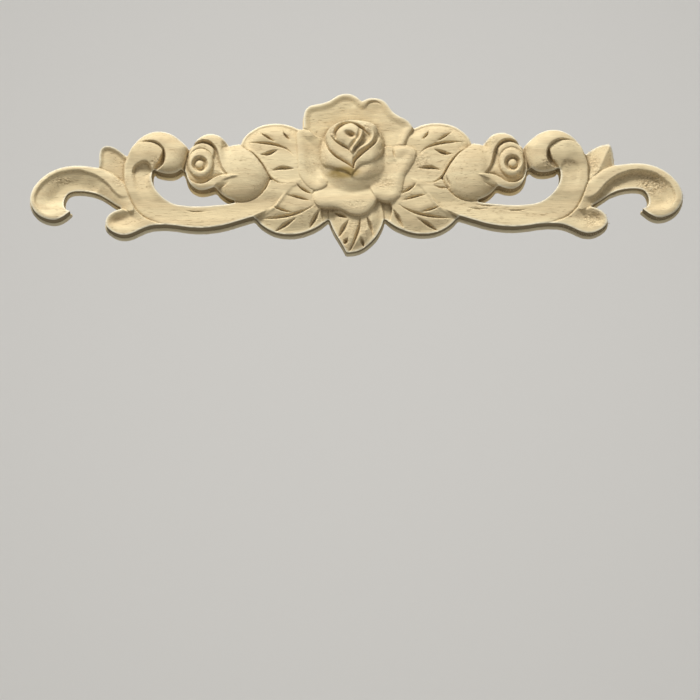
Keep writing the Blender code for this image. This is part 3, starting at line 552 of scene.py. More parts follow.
# %% End scrolls
SCROLL_HOLLOW = 3.3
HOOK_BACK = [(99.3, -4.3), (104.2, -0.2), (109.7, 2.5), (114.3, 3.4), (119.9, 3.8), (124.9, 3.3),
             (130.0, 1.6), (134.3, -1.3), (138.0, -5.4), (139.8, -10.0), (139.6, -13.8), (137.4, -17.6),
             (134.6, -19.8), (131.0, -21.1), (127.8, -21.1), (124.6, -19.6), (121.2, -16.6)]
HOOK_NOTCH = [(121.2, -16.6), (123.2, -16.1), (124.5, -14.4), (124.7, -12.0), (123.8, -9.5), (122.2, -8.2),
              (119.6, -7.7), (115.0, -8.0), (111.5, -9.0), (108.8, -10.1), (105.5, -12.3), (100.5, -15.5),
              (95.0, -17.0), (96.0, -7.0), (99.3, -4.3)]


def end_scroll(rim_width, floor_from, floor_rise):
    """A scroll whose hollow starts inside its rim and reaches its floor some way from its back."""

    def surface(x, z, depth):
        back = distance_to(x, z, HOOK_BACK[:-2])
        inner = back - 0.22 * np.clip(118 - x, 0, 18)
        hook = np.maximum(ramp(z + 0.35 * (x - 128), -21.5, -10.5), 1 - ramp(x, 107, 120))
        slope = ramp(inner, rim_width, floor_from + 3 * ramp(x, 125, 134))
        hollow = (0.3 * ramp(inner, rim_width, rim_width + 1.6) + 0.7 * slope) * ramp(x, 95, 104) * hook
        top = SCROLL_RIM - (SCROLL_HOLLOW - floor_rise * np.clip(back - 5, 0, 10)) * hollow
        return top - 1.3 * (1 - bulge(back / 2.4)) - 0.5 * (1 - bulge(depth / 0.6))

    return surface


left_scroll = end_scroll(rim_width=1.8, floor_from=9.5, floor_rise=0.0)
right_scroll = end_scroll(rim_width=2.9, floor_from=5.6, floor_rise=0.12)
relief.lay(outline(HOOK_BACK, HOOK_NOTCH), left_scroll, mirrored=True, only=-1)
relief.lay(outline(HOOK_BACK, HOOK_NOTCH), right_scroll, mirrored=True, only=1)
print("end scrolls laid, highest", relief.height.max().round(2))

# %% [markdown]
# ## Beds
#
# Some lower wood is seen between the bigger forms: under the curl of the C scroll, in the gap
# between its crest and the bud, and between the leaves and the hip. Those beds are level and
# are laid first, so that everything else lies over them.

# %% Beds under the scrolls
BRIDGE = [(70.0, 10.6), (72.2, 11.3), (74.6, 12.0), (76.0, 7.0), (74.6, 1.6), (72.0, 0.0), (70.0, 4.0)]
CURL_BED = [(79.5, 9.0), (81.2, 2.8), (83.6, 1.3), (86.4, 1.0), (88.5, 3.0), (88.5, 9.0), (84.0, 12.5)]
LEAF_BED = [(36.0, 3.5), (42.0, 4.0), (45.0, -3.0), (43.0, -9.0), (37.0, -9.5), (34.0, -3.5)]

for bed, level in ((BRIDGE, 5.8), (CURL_BED, 8.2), (LEAF_BED, 7.0)):
    relief.lay(outline(bed), flat(level), mirrored=True)
print("beds laid, highest", relief.height.max().round(2))

# %% [markdown]
# ## Sweep and C scroll
#
# A long sweep runs out from under the leaves and turns up into a C. It is one smooth band with
# a rounded back, drawn in three runs: the back of the C, the foot of the sweep, and the side
# towards the opening. The band stands a little higher where it curls.

# %% Sweep
SWEEP_BACK = [(98.2, 7.0), (99.4, 3.5), (99.6, 0.0), (99.3, -4.5), (98.4, -7.2), (97.2, -10.4),
              (95.6, -14.0), (93.2, -17.4), (89.5, -20.4), (84.3, -22.5)]
SWEEP_FOOT = [(84.3, -22.5), (77.0, -24.0), (70.5, -25.0), (64.0, -25.1), (57.1, -24.1), (51.1, -22.4),
              (43.4, -19.9)]
SWEEP_OPENING = [(43.4, -19.9), (30.0, -17.0), (24.0, -8.0), (26.0, 0.0), (38.0, -4.0), (46.0, -11.0),
                 (53.0, -13.2), (60.3, -14.0), (68.0, -14.5), (75.6, -13.9), (78.8, -12.9), (81.5, -11.3),
                 (83.9, -9.2), (85.7, -6.7), (86.8, -4.0), (87.1, -1.5), (86.6, 1.5), (84.0, 5.0),
                 (82.5, 10.0), (84.0, 14.0), (90.0, 16.5), (95.0, 13.5), (98.2, 7.0)]


def sweep(x, z, depth):
    """The band, higher where it curls, lower along its foot, and rounded at its edges."""
    back = distance_to(x, z, SWEEP_BACK)
    curled = 1.0 * ramp(z, 0, 9) + 0.9 * ramp(z, -2, 6) * (1 - ramp(x, 89, 96))
    top = SCROLL_RIM + curled + 0.4 * bulge(back / 4) * ramp(z, 3, 9)
    top = top - 0.9 * ramp(-z, 8, 14) * ramp(z + 0.1 * (x - 60), -24, -16)
    return top - 1.1 * (1 - bulge(back / 1.3)) * ramp(z, -26, -18) - 0.7 * (1 - bulge(depth / 0.8))


relief.lay(outline(SWEEP_BACK, SWEEP_FOOT, SWEEP_OPENING), sweep, mirrored=True)
print("sweeps laid, highest", relief.height.max().round(2))

# %% [markdown]
# ## The scoop of the C
#
# The C is scooped out between its back and its inner edge. The scoop starts with a steep lip
# under the curl and runs out to nothing along the sweep. On the left of the real piece it is a
# small cave. On the right it is hardly there.

# %% Scoop
SCOOP_LIP = [(96.3, -1.0), (96.2, 0.8), (95.2, 3.0), (93.0, 4.7), (90.2, 5.2), (88.2, 4.0), (87.0, 1.5),
             (86.2, 0.4)]
SCOOP_SIDES = [(86.2, 0.4), (88.2, -2.5), (86.6, -6.8), (83.0, -11.6), (78.0, -15.2), (72.0, -17.4),
               (78.0, -19.6), (87.0, -17.8), (92.0, -13.6), (95.2, -7.6), (96.3, -1.0)]


def scooped(deep, under_lip):
    """The hollow of the C: deepest under the lip, and run out along the sweep."""

    def amount(x, z, depth):
        down = ramp(-z - 0.12 * (x - 87), -3, 16)
        wall = ramp(depth, 0, 1.3 + 1.6 * ramp(-z, -2, 6))
        return wall * (deep * (1 - down) + under_lip * ramp(z, -3, 4))

    return amount


left_scoop = scooped(deep=1.6, under_lip=0.2)
right_scoop = scooped(deep=0.4, under_lip=0.0)
relief.sink(outline(SCOOP_LIP, SCOOP_SIDES), left_scoop, mirrored=True, only=-1)
relief.sink(outline(SCOOP_LIP, SCOOP_SIDES), right_scoop, mirrored=True, only=1)
print("the C is scooped, highest", relief.height.max().round(2))

# %% [markdown]
# ## Crest
#
# The C ends in a full, rounded crest that curls over it, like a wave about to fall. It grows
# from the height of the band to its own full height as it goes round, and its inner edge is
# undercut with a knife, which leaves the dark line along it.

# %% Crest
CREST_EDGE = 7.6
CREST_TOP = 12.4
CREST_OUTER = [(86.3, 0.5), (84.6, -0.3), (82.3, -0.9), (79.6, -1.2), (77.0, -0.7), (74.8, 0.8),
               (73.2, 3.6), (72.4, 7.0), (72.0, 11.0), (73.3, 12.9), (75.6, 15.0), (78.3, 17.0),
               (81.5, 18.3), (84.5, 18.7), (87.5, 18.4), (90.3, 17.4), (93.5, 15.3), (96.0, 12.4),
               (97.8, 9.4), (98.3, 7.0)]
CREST_INNER = [(98.3, 7.0), (96.8, 10.5), (93.6, 13.0), (90.3, 13.5), (87.5, 13.3), (85.2, 12.4),
               (83.4, 10.9), (82.3, 9.2), (81.8, 7.0), (82.0, 4.8), (82.9, 3.1), (84.3, 1.9), (86.3, 0.5)]


def crest(x, z, depth):
    """A full round that grows from the band, with its inner edge a little lower."""
    outer = distance_to(x, z, CREST_OUTER)
    inner = distance_to(x, z, CREST_INNER)
    grow = ramp(-x, -97, -84)
    top = CREST_TOP - 2.2 * (1 - grow)
    return CREST_EDGE + (top - CREST_EDGE) * bulge(outer / 6.5) - 0.6 * grow * (1 - bulge(inner / 2.0))


relief.lay(outline(CREST_OUTER, CREST_INNER), crest, wall=1.8 * WALL, mirrored=True)
relief.cut(CREST_INNER[1:11], width=0.5, slope=2.2, deep=0.9, mirrored=True)
print("crests laid, highest", relief.height.max().round(2))

# %% [markdown]
# ## Rose hip
#
# The hip is a low dome, and a short neck joins it to the bud above. The dome is worked out from
# one oval, and the neck takes whichever is higher, itself or the dome, so that the two run into
# each other without a seam.

# %% Rose hip
HIP_EDGE = 6.8
HIP_DOME = 5.0
HIP_CENTRE = (49.3, 0.0)
HIP_RADII = (12.7, 13.2)
NECK = [(60.5, 6.0), (55.5, 10.0), (54.2, 12.4), (53.6, 12.9)]
NECK_TOP = [(53.6, 12.9), (50.6, 12.9)]
NECK_INNER = [(50.6, 12.9), (46.0, 11.0), (46.0, 0.0), (60.5, 6.0)]


def hip_height(x, z):
    """The dome, which falls a little towards the bud."""
    radius = np.hypot((x - HIP_CENTRE[0]) / HIP_RADII[0], (z - HIP_CENTRE[1]) / HIP_RADII[1])
    return HIP_EDGE + HIP_DOME * np.sqrt(np.clip(1 - radius**2.2, 0, 1)) - 1.2 * ramp(x, 53, 61)


def neck(x, z, depth):
    """The neck, or the dome where that is higher."""
    return np.maximum(hip_height(x, z), 8.9 - 1.5 * ramp(z, 8, 13) - 0.7 * (1 - bulge(depth / 1.2)))


def hip(x, z, depth):
    """The dome, kept from cutting the neck off."""
    return np.maximum(hip_height(x, z), neck(x, z, 2 + 0 * depth) * (np.abs(x - 54) < 5) * (z > 4))


relief.lay(outline(NECK, NECK_TOP, NECK_INNER), neck, mirrored=True)
relief.lay(oval(HIP_CENTRE, HIP_RADII), hip, mirrored=True)
print("hips laid, highest", relief.height.max().round(2))

# %% [markdown]
# ## Bud
#
# The bud grows out of the hip: first an outer petal that melts into the dome, then the bowl
# that it holds. The petal's surface is a mixture of the dome and a rounded border, and the
# share of each changes from left to right, which is how two forms melt together.

# %% Outer petal and bowl of the bud
BUD_EDGE = 8.0
BUD_RISE = 2.6
BUD_TOP = [(71.2, 10.9), (69.8, 13.0), (68.2, 15.1), (66.3, 16.5), (63.9, 17.4), (61.5, 17.5), (59.1, 16.9),
           (57.1, 15.7), (55.4, 14.1), (54.0, 12.0)]
BUD_HIDDEN = [(54.0, 12.0), (51.5, 6.0), (51.5, -1.0), (55.0, -5.6), (60.7, -7.3)]
BUD_FOOT = [(60.7, -7.3), (63.1, -8.2), (65.7, -8.6), (67.8, -8.3), (70.2, -7.0), (71.9, -4.8),
            (72.9, -1.8), (73.3, 1.5), (72.9, 5.0), (71.9, 8.5), (71.2, 10.9)]
BOWL_UPPER = [(71.3, 9.4), (69.6, 12.3), (66.6, 13.8), (63.6, 13.6), (61.2, 11.9), (59.5, 9.0), (58.6, 5.4),
              (57.4, 1.6), (55.4, -1.2)]
BOWL_LOWER = [(55.4, -1.2), (59.0, -1.8), (62.0, -3.3), (64.6, -5.0), (68.0, -5.2), (71.0, -3.5),
              (72.4, -0.5), (72.6, 4.0), (71.3, 9.4)]


def outer_petal(x, z, depth):
    """A rounded petal that melts into the hip."""
    melt = ramp(x, 53.5, 58.5)
    return (1 - melt) * hip_height(x, z) + melt * (BUD_EDGE + BUD_RISE * bulge(depth / 3.6))


def bowl(x, z, depth):
    """The hollow inside the outer petal, a little domed itself."""
    return 7.4 + 1.8 * bulge(depth / 3) + 1.2 * ramp(-x, -60, -55.5) - 0.4 * ramp(z, 8, 13)


relief.lay(outline(BUD_TOP, BUD_HIDDEN, BUD_FOOT), outer_petal, mirrored=True)
relief.lay(outline(BOWL_UPPER, BOWL_LOWER), bowl, wall=1.9 * WALL, mirrored=True)
print("buds laid, highest", relief.height.max().round(2))

# %% [markdown]
# ## Frill, collar and bead
#
# In the bowl lies a small frilled petal, and over it a round collar with a well. A bead stands
# in the middle of the well. The collar is worked out from the distance to the bead, so the well
# stays round although the collar is an oval.

# %% Frill, collar and bead
COLLAR_TOP = 11.2
COLLAR_WELL = 9.2
COLLAR_CENTRE = (66.5, 3.7)
COLLAR_RADII = (5.5, 6.7)
BEAD_CENTRE = (66.9, 3.2)
BEAD_RADIUS = 1.9
FRILL = [(60.6, 9.6), (62.6, 11.9), (65.5, 12.9), (68.4, 12.4), (70.6, 10.4), (71.8, 7.6), (70.0, 4.0),
         (64.0, 4.0), (61.4, 6.0)]


def frill(x, z, depth):
    """A thin petal with a rounded edge."""
    return 9.0 + 1.4 * bulge(depth / 1.2)


def collar(x, z, depth):
    """A rounded ring round a well, with a bead in it."""
    out = np.hypot(x - BEAD_CENTRE[0], z - BEAD_CENTRE[1])
    ringed = COLLAR_WELL + (COLLAR_TOP - COLLAR_WELL) * bulge(depth / 2.2) * ramp(out, 2.4, 3.9)
    bead = COLLAR_TOP - 0.5 - 0.9 * (out / BEAD_RADIUS) ** 3
    return np.where(out < BEAD_RADIUS, bead, ringed)


relief.lay(outline(FRILL), frill, mirrored=True)
relief.lay(oval(COLLAR_CENTRE, COLLAR_RADII), collar, mirrored=True)
print("collars laid, highest", relief.height.max().round(2))

# %% [markdown]
# ## Lower petal of the bud
#
# A last petal folds over the bowl from below and melts into the hip. Its tip reaches further
# over the hip on the left of the real piece than on the right, so the tip is the one point that
# differs.

# %% Lower petal of the bud
LEFT_TIP = (49.4, -2.2)
RIGHT_TIP = (52.2, -2.3)
LIP_UPPER = [(54.3, -1.9), (58.4, -2.0), (61.5, -3.4), (64.6, -5.1), (68.0, -5.3), (71.0, -3.6),
             (72.9, -1.0)]
LIP_LOWER = [(72.9, -1.0), (72.4, -3.9), (71.2, -6.0), (69.0, -7.8), (65.7, -8.6), (62.5, -7.9),
             (60.7, -7.0), (59.6, -5.6), (58.4, -4.3), (55.1, -3.3)]


def lower_petal(x, z, depth):
    """A fold whose roll follows its lower edge."""
    melt = ramp(x, 52, 61)
    fold = BUD_EDGE + BUD_RISE * bulge((z + 8.8 - 0.25 * np.clip(x - 66, 0, 9)) / 4)
    return (1 - melt) * (hip_height(x, z) + 0.7 * ramp(x, 48, 54)) + melt * fold


for side, tip in ((-1, LEFT_TIP), (1, RIGHT_TIP)):
    relief.lay(outline([tip] + LIP_UPPER, LIP_LOWER + [tip]), lower_petal, mirrored=True, only=side)
print("lower petals laid, highest", relief.height.max().round(2))

# %% [markdown]
# ## Upper leaves
#
# Two leaves look out from behind the rose, above the hips. Each is a pillow that falls to its
# free edge, with a border that stands a little proud of the face inside it. Where a leaf meets
# the hip a cut is made round its inner edge, as a carver sets one form off from another.

# %% Upper leaves
LEAF_EDGE = 5.3
LEAF_RISE = 3.3
UPPER_LEAF_EDGE = [(50.0, 12.7), (49.1, 15.6), (47.2, 17.9), (44.8, 19.9), (42.0, 21.5), (39.2, 22.4),
                   (36.0, 22.9), (32.9, 22.9), (30.1, 22.5), (27.7, 21.9), (25.3, 20.9), (21.5, 21.0)]
UPPER_LEAF_INNER = [(21.5, 21.0), (18.0, 12.0), (18.0, -3.0), (24.0, -4.2), (29.7, -5.0), (32.5, -4.9),
                    (34.8, -3.9), (36.8, -2.2), (38.4, 0.2), (40.0, 3.0), (42.0, 5.8), (44.4, 8.4),
                    (47.2, 10.2), (50.0, 12.7)]


def edge_line(gap):
    """A leaf's border stands a little above the face inside it."""
    return -0.45 * ramp(gap, 1.3, 1.9) * (1 - ramp(gap, 2.2, 5.5))


def upper_leaf(x, z, depth):
    """A pillow with a border, tucked in under the rose."""
    edge = distance_to(x, z, UPPER_LEAF_EDGE)
    under_rose = 0.6 * ramp(-x, -34, -24) * ramp(z, 2, 12)
    pillow = LEAF_EDGE + LEAF_RISE * bulge(edge / 7.5) + edge_line(edge)
    return pillow + 0.3 * (1 - ramp(depth, 0.6, 1.6)) * ramp(edge, 2, 5) - under_rose


relief.lay(outline(UPPER_LEAF_EDGE, UPPER_LEAF_INNER), upper_leaf, mirrored=True)
relief.cut(UPPER_LEAF_INNER[4:], width=0.5, slope=1.0, deep=1.5, mirrored=True, only=-1)
relief.cut(UPPER_LEAF_INNER[4:], width=0.7, slope=2.3, deep=1.5, mirrored=True, only=1)
print("upper leaves laid, highest", relief.height.max().round(2))

# %% [markdown]
# ## Lower leaves
#
# The lower leaves turn their free edge towards the camera, so their border matters most: it
# rounds over at once, runs nearly flat for a little, and only then slopes up. The small nook
# between a lower leaf and the middle one is a level bed.

# %% Lower leaves
LOWER_LEAF_EDGE = [(43.6, -19.8), (41.2, -22.8), (37.2, -25.6), (32.9, -27.2), (28.1, -27.6), (23.3, -27.0),
                   (18.5, -25.2), (15.0, -23.2), (11.9, -20.2), (6.0, -12.0)]
LOWER_LEAF_INNER = [(6.0, -12.0), (15.0, 0.0), (25.7, -4.7), (28.1, -5.9), (30.9, -9.4), (33.2, -12.6),
                    (35.6, -15.4), (39.5, -17.6), (43.6, -19.8)]
NOOK_OUTLINE = [(8.0, -10.0), (13.0, -12.0), (15.2, -16.0), (14.2, -21.0), (12.0, -24.0), (9.0, -21.0)]


def thin_edge(gap, rise, reach):
    """A leaf's free edge: rounded over at once, then nearly flat, then a gentle slope up."""
    return 1.2 * bulge(gap / 0.7) + (rise - 1.2) * np.clip((gap - 1.3) / reach, 0, 1) ** 0.9


def lower_leaf(x, z, depth):
    """A pillow with a thin edge, and a soft lip where it meets the hip's bed."""
    edge = distance_to(x, z, LOWER_LEAF_EDGE)
    pillow = LEAF_EDGE + thin_edge(edge, LEAF_RISE, 8) + 0.4 * edge_line(edge)
    return pillow + 0.4 * (1 - ramp(depth, 0.6, 1.6)) * ramp(edge, 2, 5) * ramp(x, 22, 27)


relief.lay(outline(LOWER_LEAF_EDGE, LOWER_LEAF_INNER), lower_leaf, mirrored=True)
relief.lay(outline(NOOK_OUTLINE), flat(5.7), mirrored=True)
print("lower leaves laid, highest", relief.height.max().round(2))

# %% [markdown]
# ## Veins and gouge strokes
#
# Veins are knife cuts, steep on one side and sloping on the other, and the sign of the slope
# says on which side. The short strokes beside them are from a narrow gouge: widest in the
# middle and running out to a point at both ends. A few stray cuts on the sweeps, and a facet
# beside the right hip, are there on the real piece, the last ones on its right half only.

# %% Veins and gouge strokes
UPPER_VEINS = [([(47.5, 13.6), (41.2, 13.3), (36.8, 12.9), (32.9, 11.9), (29.7, 10.5),
                 (26.6, 7.6)], 0.75, -3.2),
               ([(41.6, 18.2), (38.5, 16.2), (34.6, 13.6)], 0.6, -2.4),
               ([(31.6, 18.9), (30.3, 16.6), (28.0, 14.4)], 0.6, -1.6)]
UPPER_GOUGES = [([(41.3, 8.0), (38.0, 8.3), (33.2, 10.2)], 1.1),
                ([(36.4, 0.6), (32.1, 1.9), (26.2, 1.6)], 1.0)]
LOWER_VEINS = [([(41.2, -20.2), (35.2, -20.0), (30.5, -19.4), (26.1, -18.4), (21.7, -16.7),
                 (17.5, -14.2)], 0.9, -2.6),
               ([(36.4, -15.2), (31.7, -16.7), (27.0, -18.0)], 0.6, -2.4),
               ([(30.4, -10.0), (25.3, -11.0), (19.4, -12.9)], 0.6, -2.0),
               ([(26.0, -4.9), (22.9, -7.6), (18.4, -10.0)], 0.6, -1.6)]
LOWER_GOUGES = [([(25.6, -20.2), (30.0, -22.8), (35.0, -26.0)], 1.0),
                ([(15.4, -16.0), (17.7, -20.1), (20.2, -24.6)], 1.1)]
SWEEP_CUTS = [([(74.0, -16.4), (69.4, -17.3), (62.7, -17.0)], 0.35)]
FACET_CUTS = [([(32.6, -6.0), (36.0, -7.2), (40.4, -7.3)], 0.5, 1.6),
              ([(38.3, -1.6), (39.2, -4.4), (40.4, -7.0)], 0.5, 0.0)]
RIGHT_SWEEP_CUTS = [([(46.5, -15.7), (52.0, -16.6), (57.4, -16.4)], 0.35),
                    ([(63.0, -15.6), (56.0, -15.2), (49.0, -14.4)], 0.3)]

for points, width, slope in UPPER_VEINS + LOWER_VEINS:
    relief.cut(points, width, slope, mirrored=True)
for points, width in UPPER_GOUGES + LOWER_GOUGES:
    relief.cut(points, width, 0.0, mirrored=True)
for points, width in SWEEP_CUTS:
    relief.cut(points, width, 0.0, deep=0.5, mirrored=True)
for points, width, slope in FACET_CUTS:
    relief.cut(points, width, slope, deep=0.8, only=1)
for points, width in RIGHT_SWEEP_CUTS:
    relief.cut(points, width, 0.0, deep=0.5, only=1)
print(len(UPPER_VEINS + LOWER_VEINS), "veins and", len(UPPER_GOUGES + LOWER_GOUGES), "gouge strokes a side")

# %% [markdown]
# ## Middle leaf
#
# One leaf hangs down like a tongue under the rose, its tip turned to the left. It leans: its
# right side is higher than its left. It lies over the two lower leaves, so it is laid and cut
# after them.

# %% Middle leaf
TONGUE_LEFT = [(-12.2, -18.0), (-11.9, -20.5), (-11.2, -22.8), (-9.6, -26.4), (-7.6, -29.8), (-5.8, -33.0),
               (-4.6, -35.4)]
TONGUE_RIGHT = [(-4.6, -35.4), (-0.8, -35.1), (2.1, -34.2), (5.0, -32.3), (8.0, -29.4), (9.9, -26.5),
                (11.4, -23.2), (12.0, -19.5), (10.0, -10.0)]
TONGUE_TOP = [(10.0, -10.0), (-10.0, -10.0), (-12.2, -18.0)]
TONGUE_VEINS = [([(1.4, -19.0), (1.4, -23.2), (0.4, -26.8), (-0.9, -30.2), (-2.4, -33.1),
                  (-3.8, -35.2)], 0.95, -2.2)]
TONGUE_GOUGES = [([(-9.8, -17.2), (-7.4, -18.6), (-3.8, -20.1)], 1.0),
                 ([(-3.2, -20.8), (-5.6, -24.7), (-7.8, -28.6)], 1.3),
                 ([(-3.6, -28.8), (-4.7, -30.3), (-5.4, -31.5)], 1.2),
                 ([(4.2, -19.2), (5.8, -23.2), (7.3, -28.2)], 1.0),
                 ([(1.6, -28.4), (2.5, -30.6), (3.2, -33.0)], 1.0)]


def tongue(x, z, depth):
    """A leaf that leans to the left and thins out towards its tip."""
    side = LEAF_EDGE - 0.7 + thin_edge(depth, 2.6, 4) + 0.5 * edge_line(depth)
    return side + 0.9 * ramp(x, -6, 9) - 0.9 * ramp(-z, 29, 36)


relief.lay(outline(TONGUE_LEFT, TONGUE_RIGHT, TONGUE_TOP), tongue)
for points, width, slope in TONGUE_VEINS:
    relief.cut(points, width, slope, deep=1.5)
for points, width in TONGUE_GOUGES:
    relief.cut(points, width, 0.0)
print("middle leaf laid with", len(TONGUE_GOUGES), "gouge strokes")

# %% [markdown]
# ## The upper petals
#
# Five petals lie open round the rose. The two upper ones are dishes: a raised rim follows the
# free edge, a small step leads down from it, and the face falls slowly towards the root under
# the cup. All the petals lie on a level bed.

# %% Upper petals
PETAL_BED = 7.5
BED_CENTRE = (-2.0, 3.0)
BED_RADII = (17.0, 15.0)
PETAL_RIM = 9.0
NORTH_WEST = [(-22.6, 17.0), (-22.9, 21.0), (-22.9, 25.4), (-22.1, 28.0), (-20.4, 29.8), (-17.9, 30.6),
              (-14.9, 31.1), (-12.0, 32.0), (-9.8, 33.4), (-7.4, 34.9), (-4.7, 35.5), (-1.8, 35.2),
              (0.8, 33.8), (2.7, 31.8)]
NORTH_WEST_ROOT = [(2.7, 31.8), (3.0, 24.0), (-2.0, 16.0), (-16.0, 12.0), (-22.6, 17.0)]
NORTH_EAST = [(2.5, 31.9), (4.6, 33.1), (7.0, 33.5), (9.9, 33.2), (12.3, 32.1), (14.1, 30.1), (15.6, 27.8),
              (17.3, 26.1), (19.7, 24.7), (22.1, 23.6), (23.9, 21.8), (24.4, 19.6), (22.8, 16.2),
              (21.0, 12.0)]
NORTH_EAST_ROOT = [(21.0, 12.0), (14.0, 6.0), (4.0, 14.0), (1.8, 26.0), (2.5, 31.9)]


def dished(free_edge, rim_width, inner_step):
    """A petal with a rim along its free edge, a step inside the rim, and a slow fall to its root."""

    def surface(x, z, depth):
        out = distance_to(x, z, free_edge)
        fall = inner_step * ramp(out, 0.6 * rim_width, 1.9 * rim_width) + 1.0 * ramp(out, rim_width, 11)
        fall = fall + 0.7 * ramp(x, 19, 24)
        return PETAL_RIM + 0.25 * bulge(out / rim_width) - fall - 0.8 * (1 - bulge(out / 1.1))

    return surface


relief.lay(oval(BED_CENTRE, BED_RADII), flat(PETAL_BED))
relief.lay(outline(NORTH_WEST, NORTH_WEST_ROOT), dished(NORTH_WEST, rim_width=2.0, inner_step=0.9))
relief.lay(outline(NORTH_EAST, NORTH_EAST_ROOT), dished(NORTH_EAST, rim_width=2.2, inner_step=0.9))
print("upper petals laid, highest", relief.height.max().round(2))

# %% [markdown]
# ## The lower and side petals
#
# The lower petal and the right one are full and roll over outwards. The left one is a dish
# again, with a broad rim. A petal that lies over its neighbour is laid after it, and two short
# cuts show where the right petal and the upper right one are folded.

# %% Lower and side petals
PETAL_FULL = 9.8
SOUTH = [(-15.5, -5.0), (-18.4, -8.6), (-18.7, -11.3), (-17.9, -13.5), (-16.4, -15.2), (-14.0, -16.0),
         (-11.0, -15.9), (-8.1, -16.3), (-5.7, -17.2), (-3.2, -18.5), (-0.8, -19.3), (1.6, -19.4),
         (4.1, -18.7), (6.0, -17.1), (7.7, -14.9), (8.8, -12.4)]
SOUTH_ROOT = [(8.8, -12.4), (10.0, -6.0), (4.0, 0.0), (-6.0, 0.0), (-15.5, -5.0)]
WEST = [(-20.6, 18.9), (-24.2, 19.3), (-25.8, 16.7), (-25.4, 10.4), (-25.3, 6.5), (-25.0, 2.6),
        (-24.7, -0.8), (-23.2, -3.8), (-20.8, -6.6), (-17.9, -8.3), (-14.9, -7.8), (-12.6, -6.3),
        (-12.2, -4.6)]
WEST_ROOT = [(-12.2, -4.6), (-10.0, 2.0), (-12.0, 14.0), (-16.0, 15.6), (-20.6, 18.9)]
EAST = [(8.7, -12.2), (11.4, -13.2), (14.3, -13.4), (16.7, -12.8), (18.7, -11.0), (19.8, -8.1),
        (20.4, -4.9), (21.0, -2.0), (22.3, 0.0), (24.0, 2.8), (25.3, 5.5), (25.9, 8.3), (24.9, 10.4),
        (22.1, 11.6), (18.7, 11.9), (15.6, 11.4)]
EAST_ROOT = [(15.6, 11.4), (9.0, 10.0), (6.0, 0.0), (6.0, -7.0), (8.7, -12.2)]
EAST_FOLD = [(15.9, 11.4), (16.0, 8.6), (17.0, 5.6)]
NORTH_EAST_FOLD = [(4.2, 28.6), (5.6, 30.8), (8.6, 31.4), (11.4, 29.8)]


def south(x, z, depth):
    """The lower petal: full at its edge, and lower where it goes in under the cup."""
    return PETAL_FULL - 1.4 * (1 - bulge(depth / 3.2)) - 1.3 * ramp(z, -13.5, -6)


def east(x, z, depth):
    """The right petal: rolled over along its edge, and hollow towards its root."""
    edge = distance_to(x, z, EAST)
    rolled = PETAL_FULL - 1.5 * (1 - bulge(edge / 3.4))
    return rolled - 1.1 * ramp(edge, 2.0, 8.5) - 0.7 * ramp(z, 4, 11) * ramp(-x, -20, -15)


relief.lay(outline(SOUTH, SOUTH_ROOT), south)
relief.lay(outline(WEST, WEST_ROOT), dished(WEST, rim_width=3.0, inner_step=0.8), wall=1.6 * WALL)
relief.lay(outline(EAST, EAST_ROOT), east)
relief.cut(EAST_FOLD, width=0.6, slope=1.8, deep=0.7)
relief.cut(NORTH_EAST_FOLD, width=0.6, slope=-1.8, deep=0.6)
print("side petals laid, highest", relief.height.max().round(2))

# %% [markdown]
# ## The ball of the cup
#
# The middle of the rose is a ball of petals that wrap round each other. First comes the ball as
# a whole. It rises softly from the open petals, with a foot that is higher at its lower right,
# and a second swelling sits there, where one petal is fuller.

# %% Ball of the cup
CUP_FOOT = 7.4
CUP_CROWN = 11.4
CUP_CENTRE = (-1.7, 6.6)
CUP_RADII = (14.6, 15.8)
SWELL_CENTRE = (4.5, 0.6)
SWELL_RADII = (8.0, 4.4)


def ball(x, z):
    """The whole cup before its petals are cut, rising softly from the open ones."""
    out = np.hypot((x - CUP_CENTRE[0]) / CUP_RADII[0], (z - CUP_CENTRE[1]) / CUP_RADII[1])
    foot = CUP_FOOT + 1.6 * ramp(0.5 * x - z, -8, 8)
    return foot + (CUP_CROWN - foot) * ramp(1 - out, -0.04, 0.44) ** 0.82


def swell(x, z, depth):
    """A low swelling on the ball."""
    return ball(x, z) + 0.5 * bulge(depth / 3.5)


relief.lay(oval(CUP_CENTRE, CUP_RADII), lambda x, z, depth: ball(x, z), wall=4 * WALL)
relief.lay(oval(SWELL_CENTRE, SWELL_RADII, turn=0.35), swell, wall=3 * WALL)
print("cup laid, highest", relief.height.max().round(2))

# %% [markdown]
# ## The wrapping petals
#
# Each opening of the cup is laid inside the one before, with its own crest, and all of them run
# down to a point at the lower end. The crest of a petal is a step up, and the mouth inside it
# slopes back down to the next petal. The mouths are wide open on the right, where they are dark
# in the photograph, and nearly shut on the left.

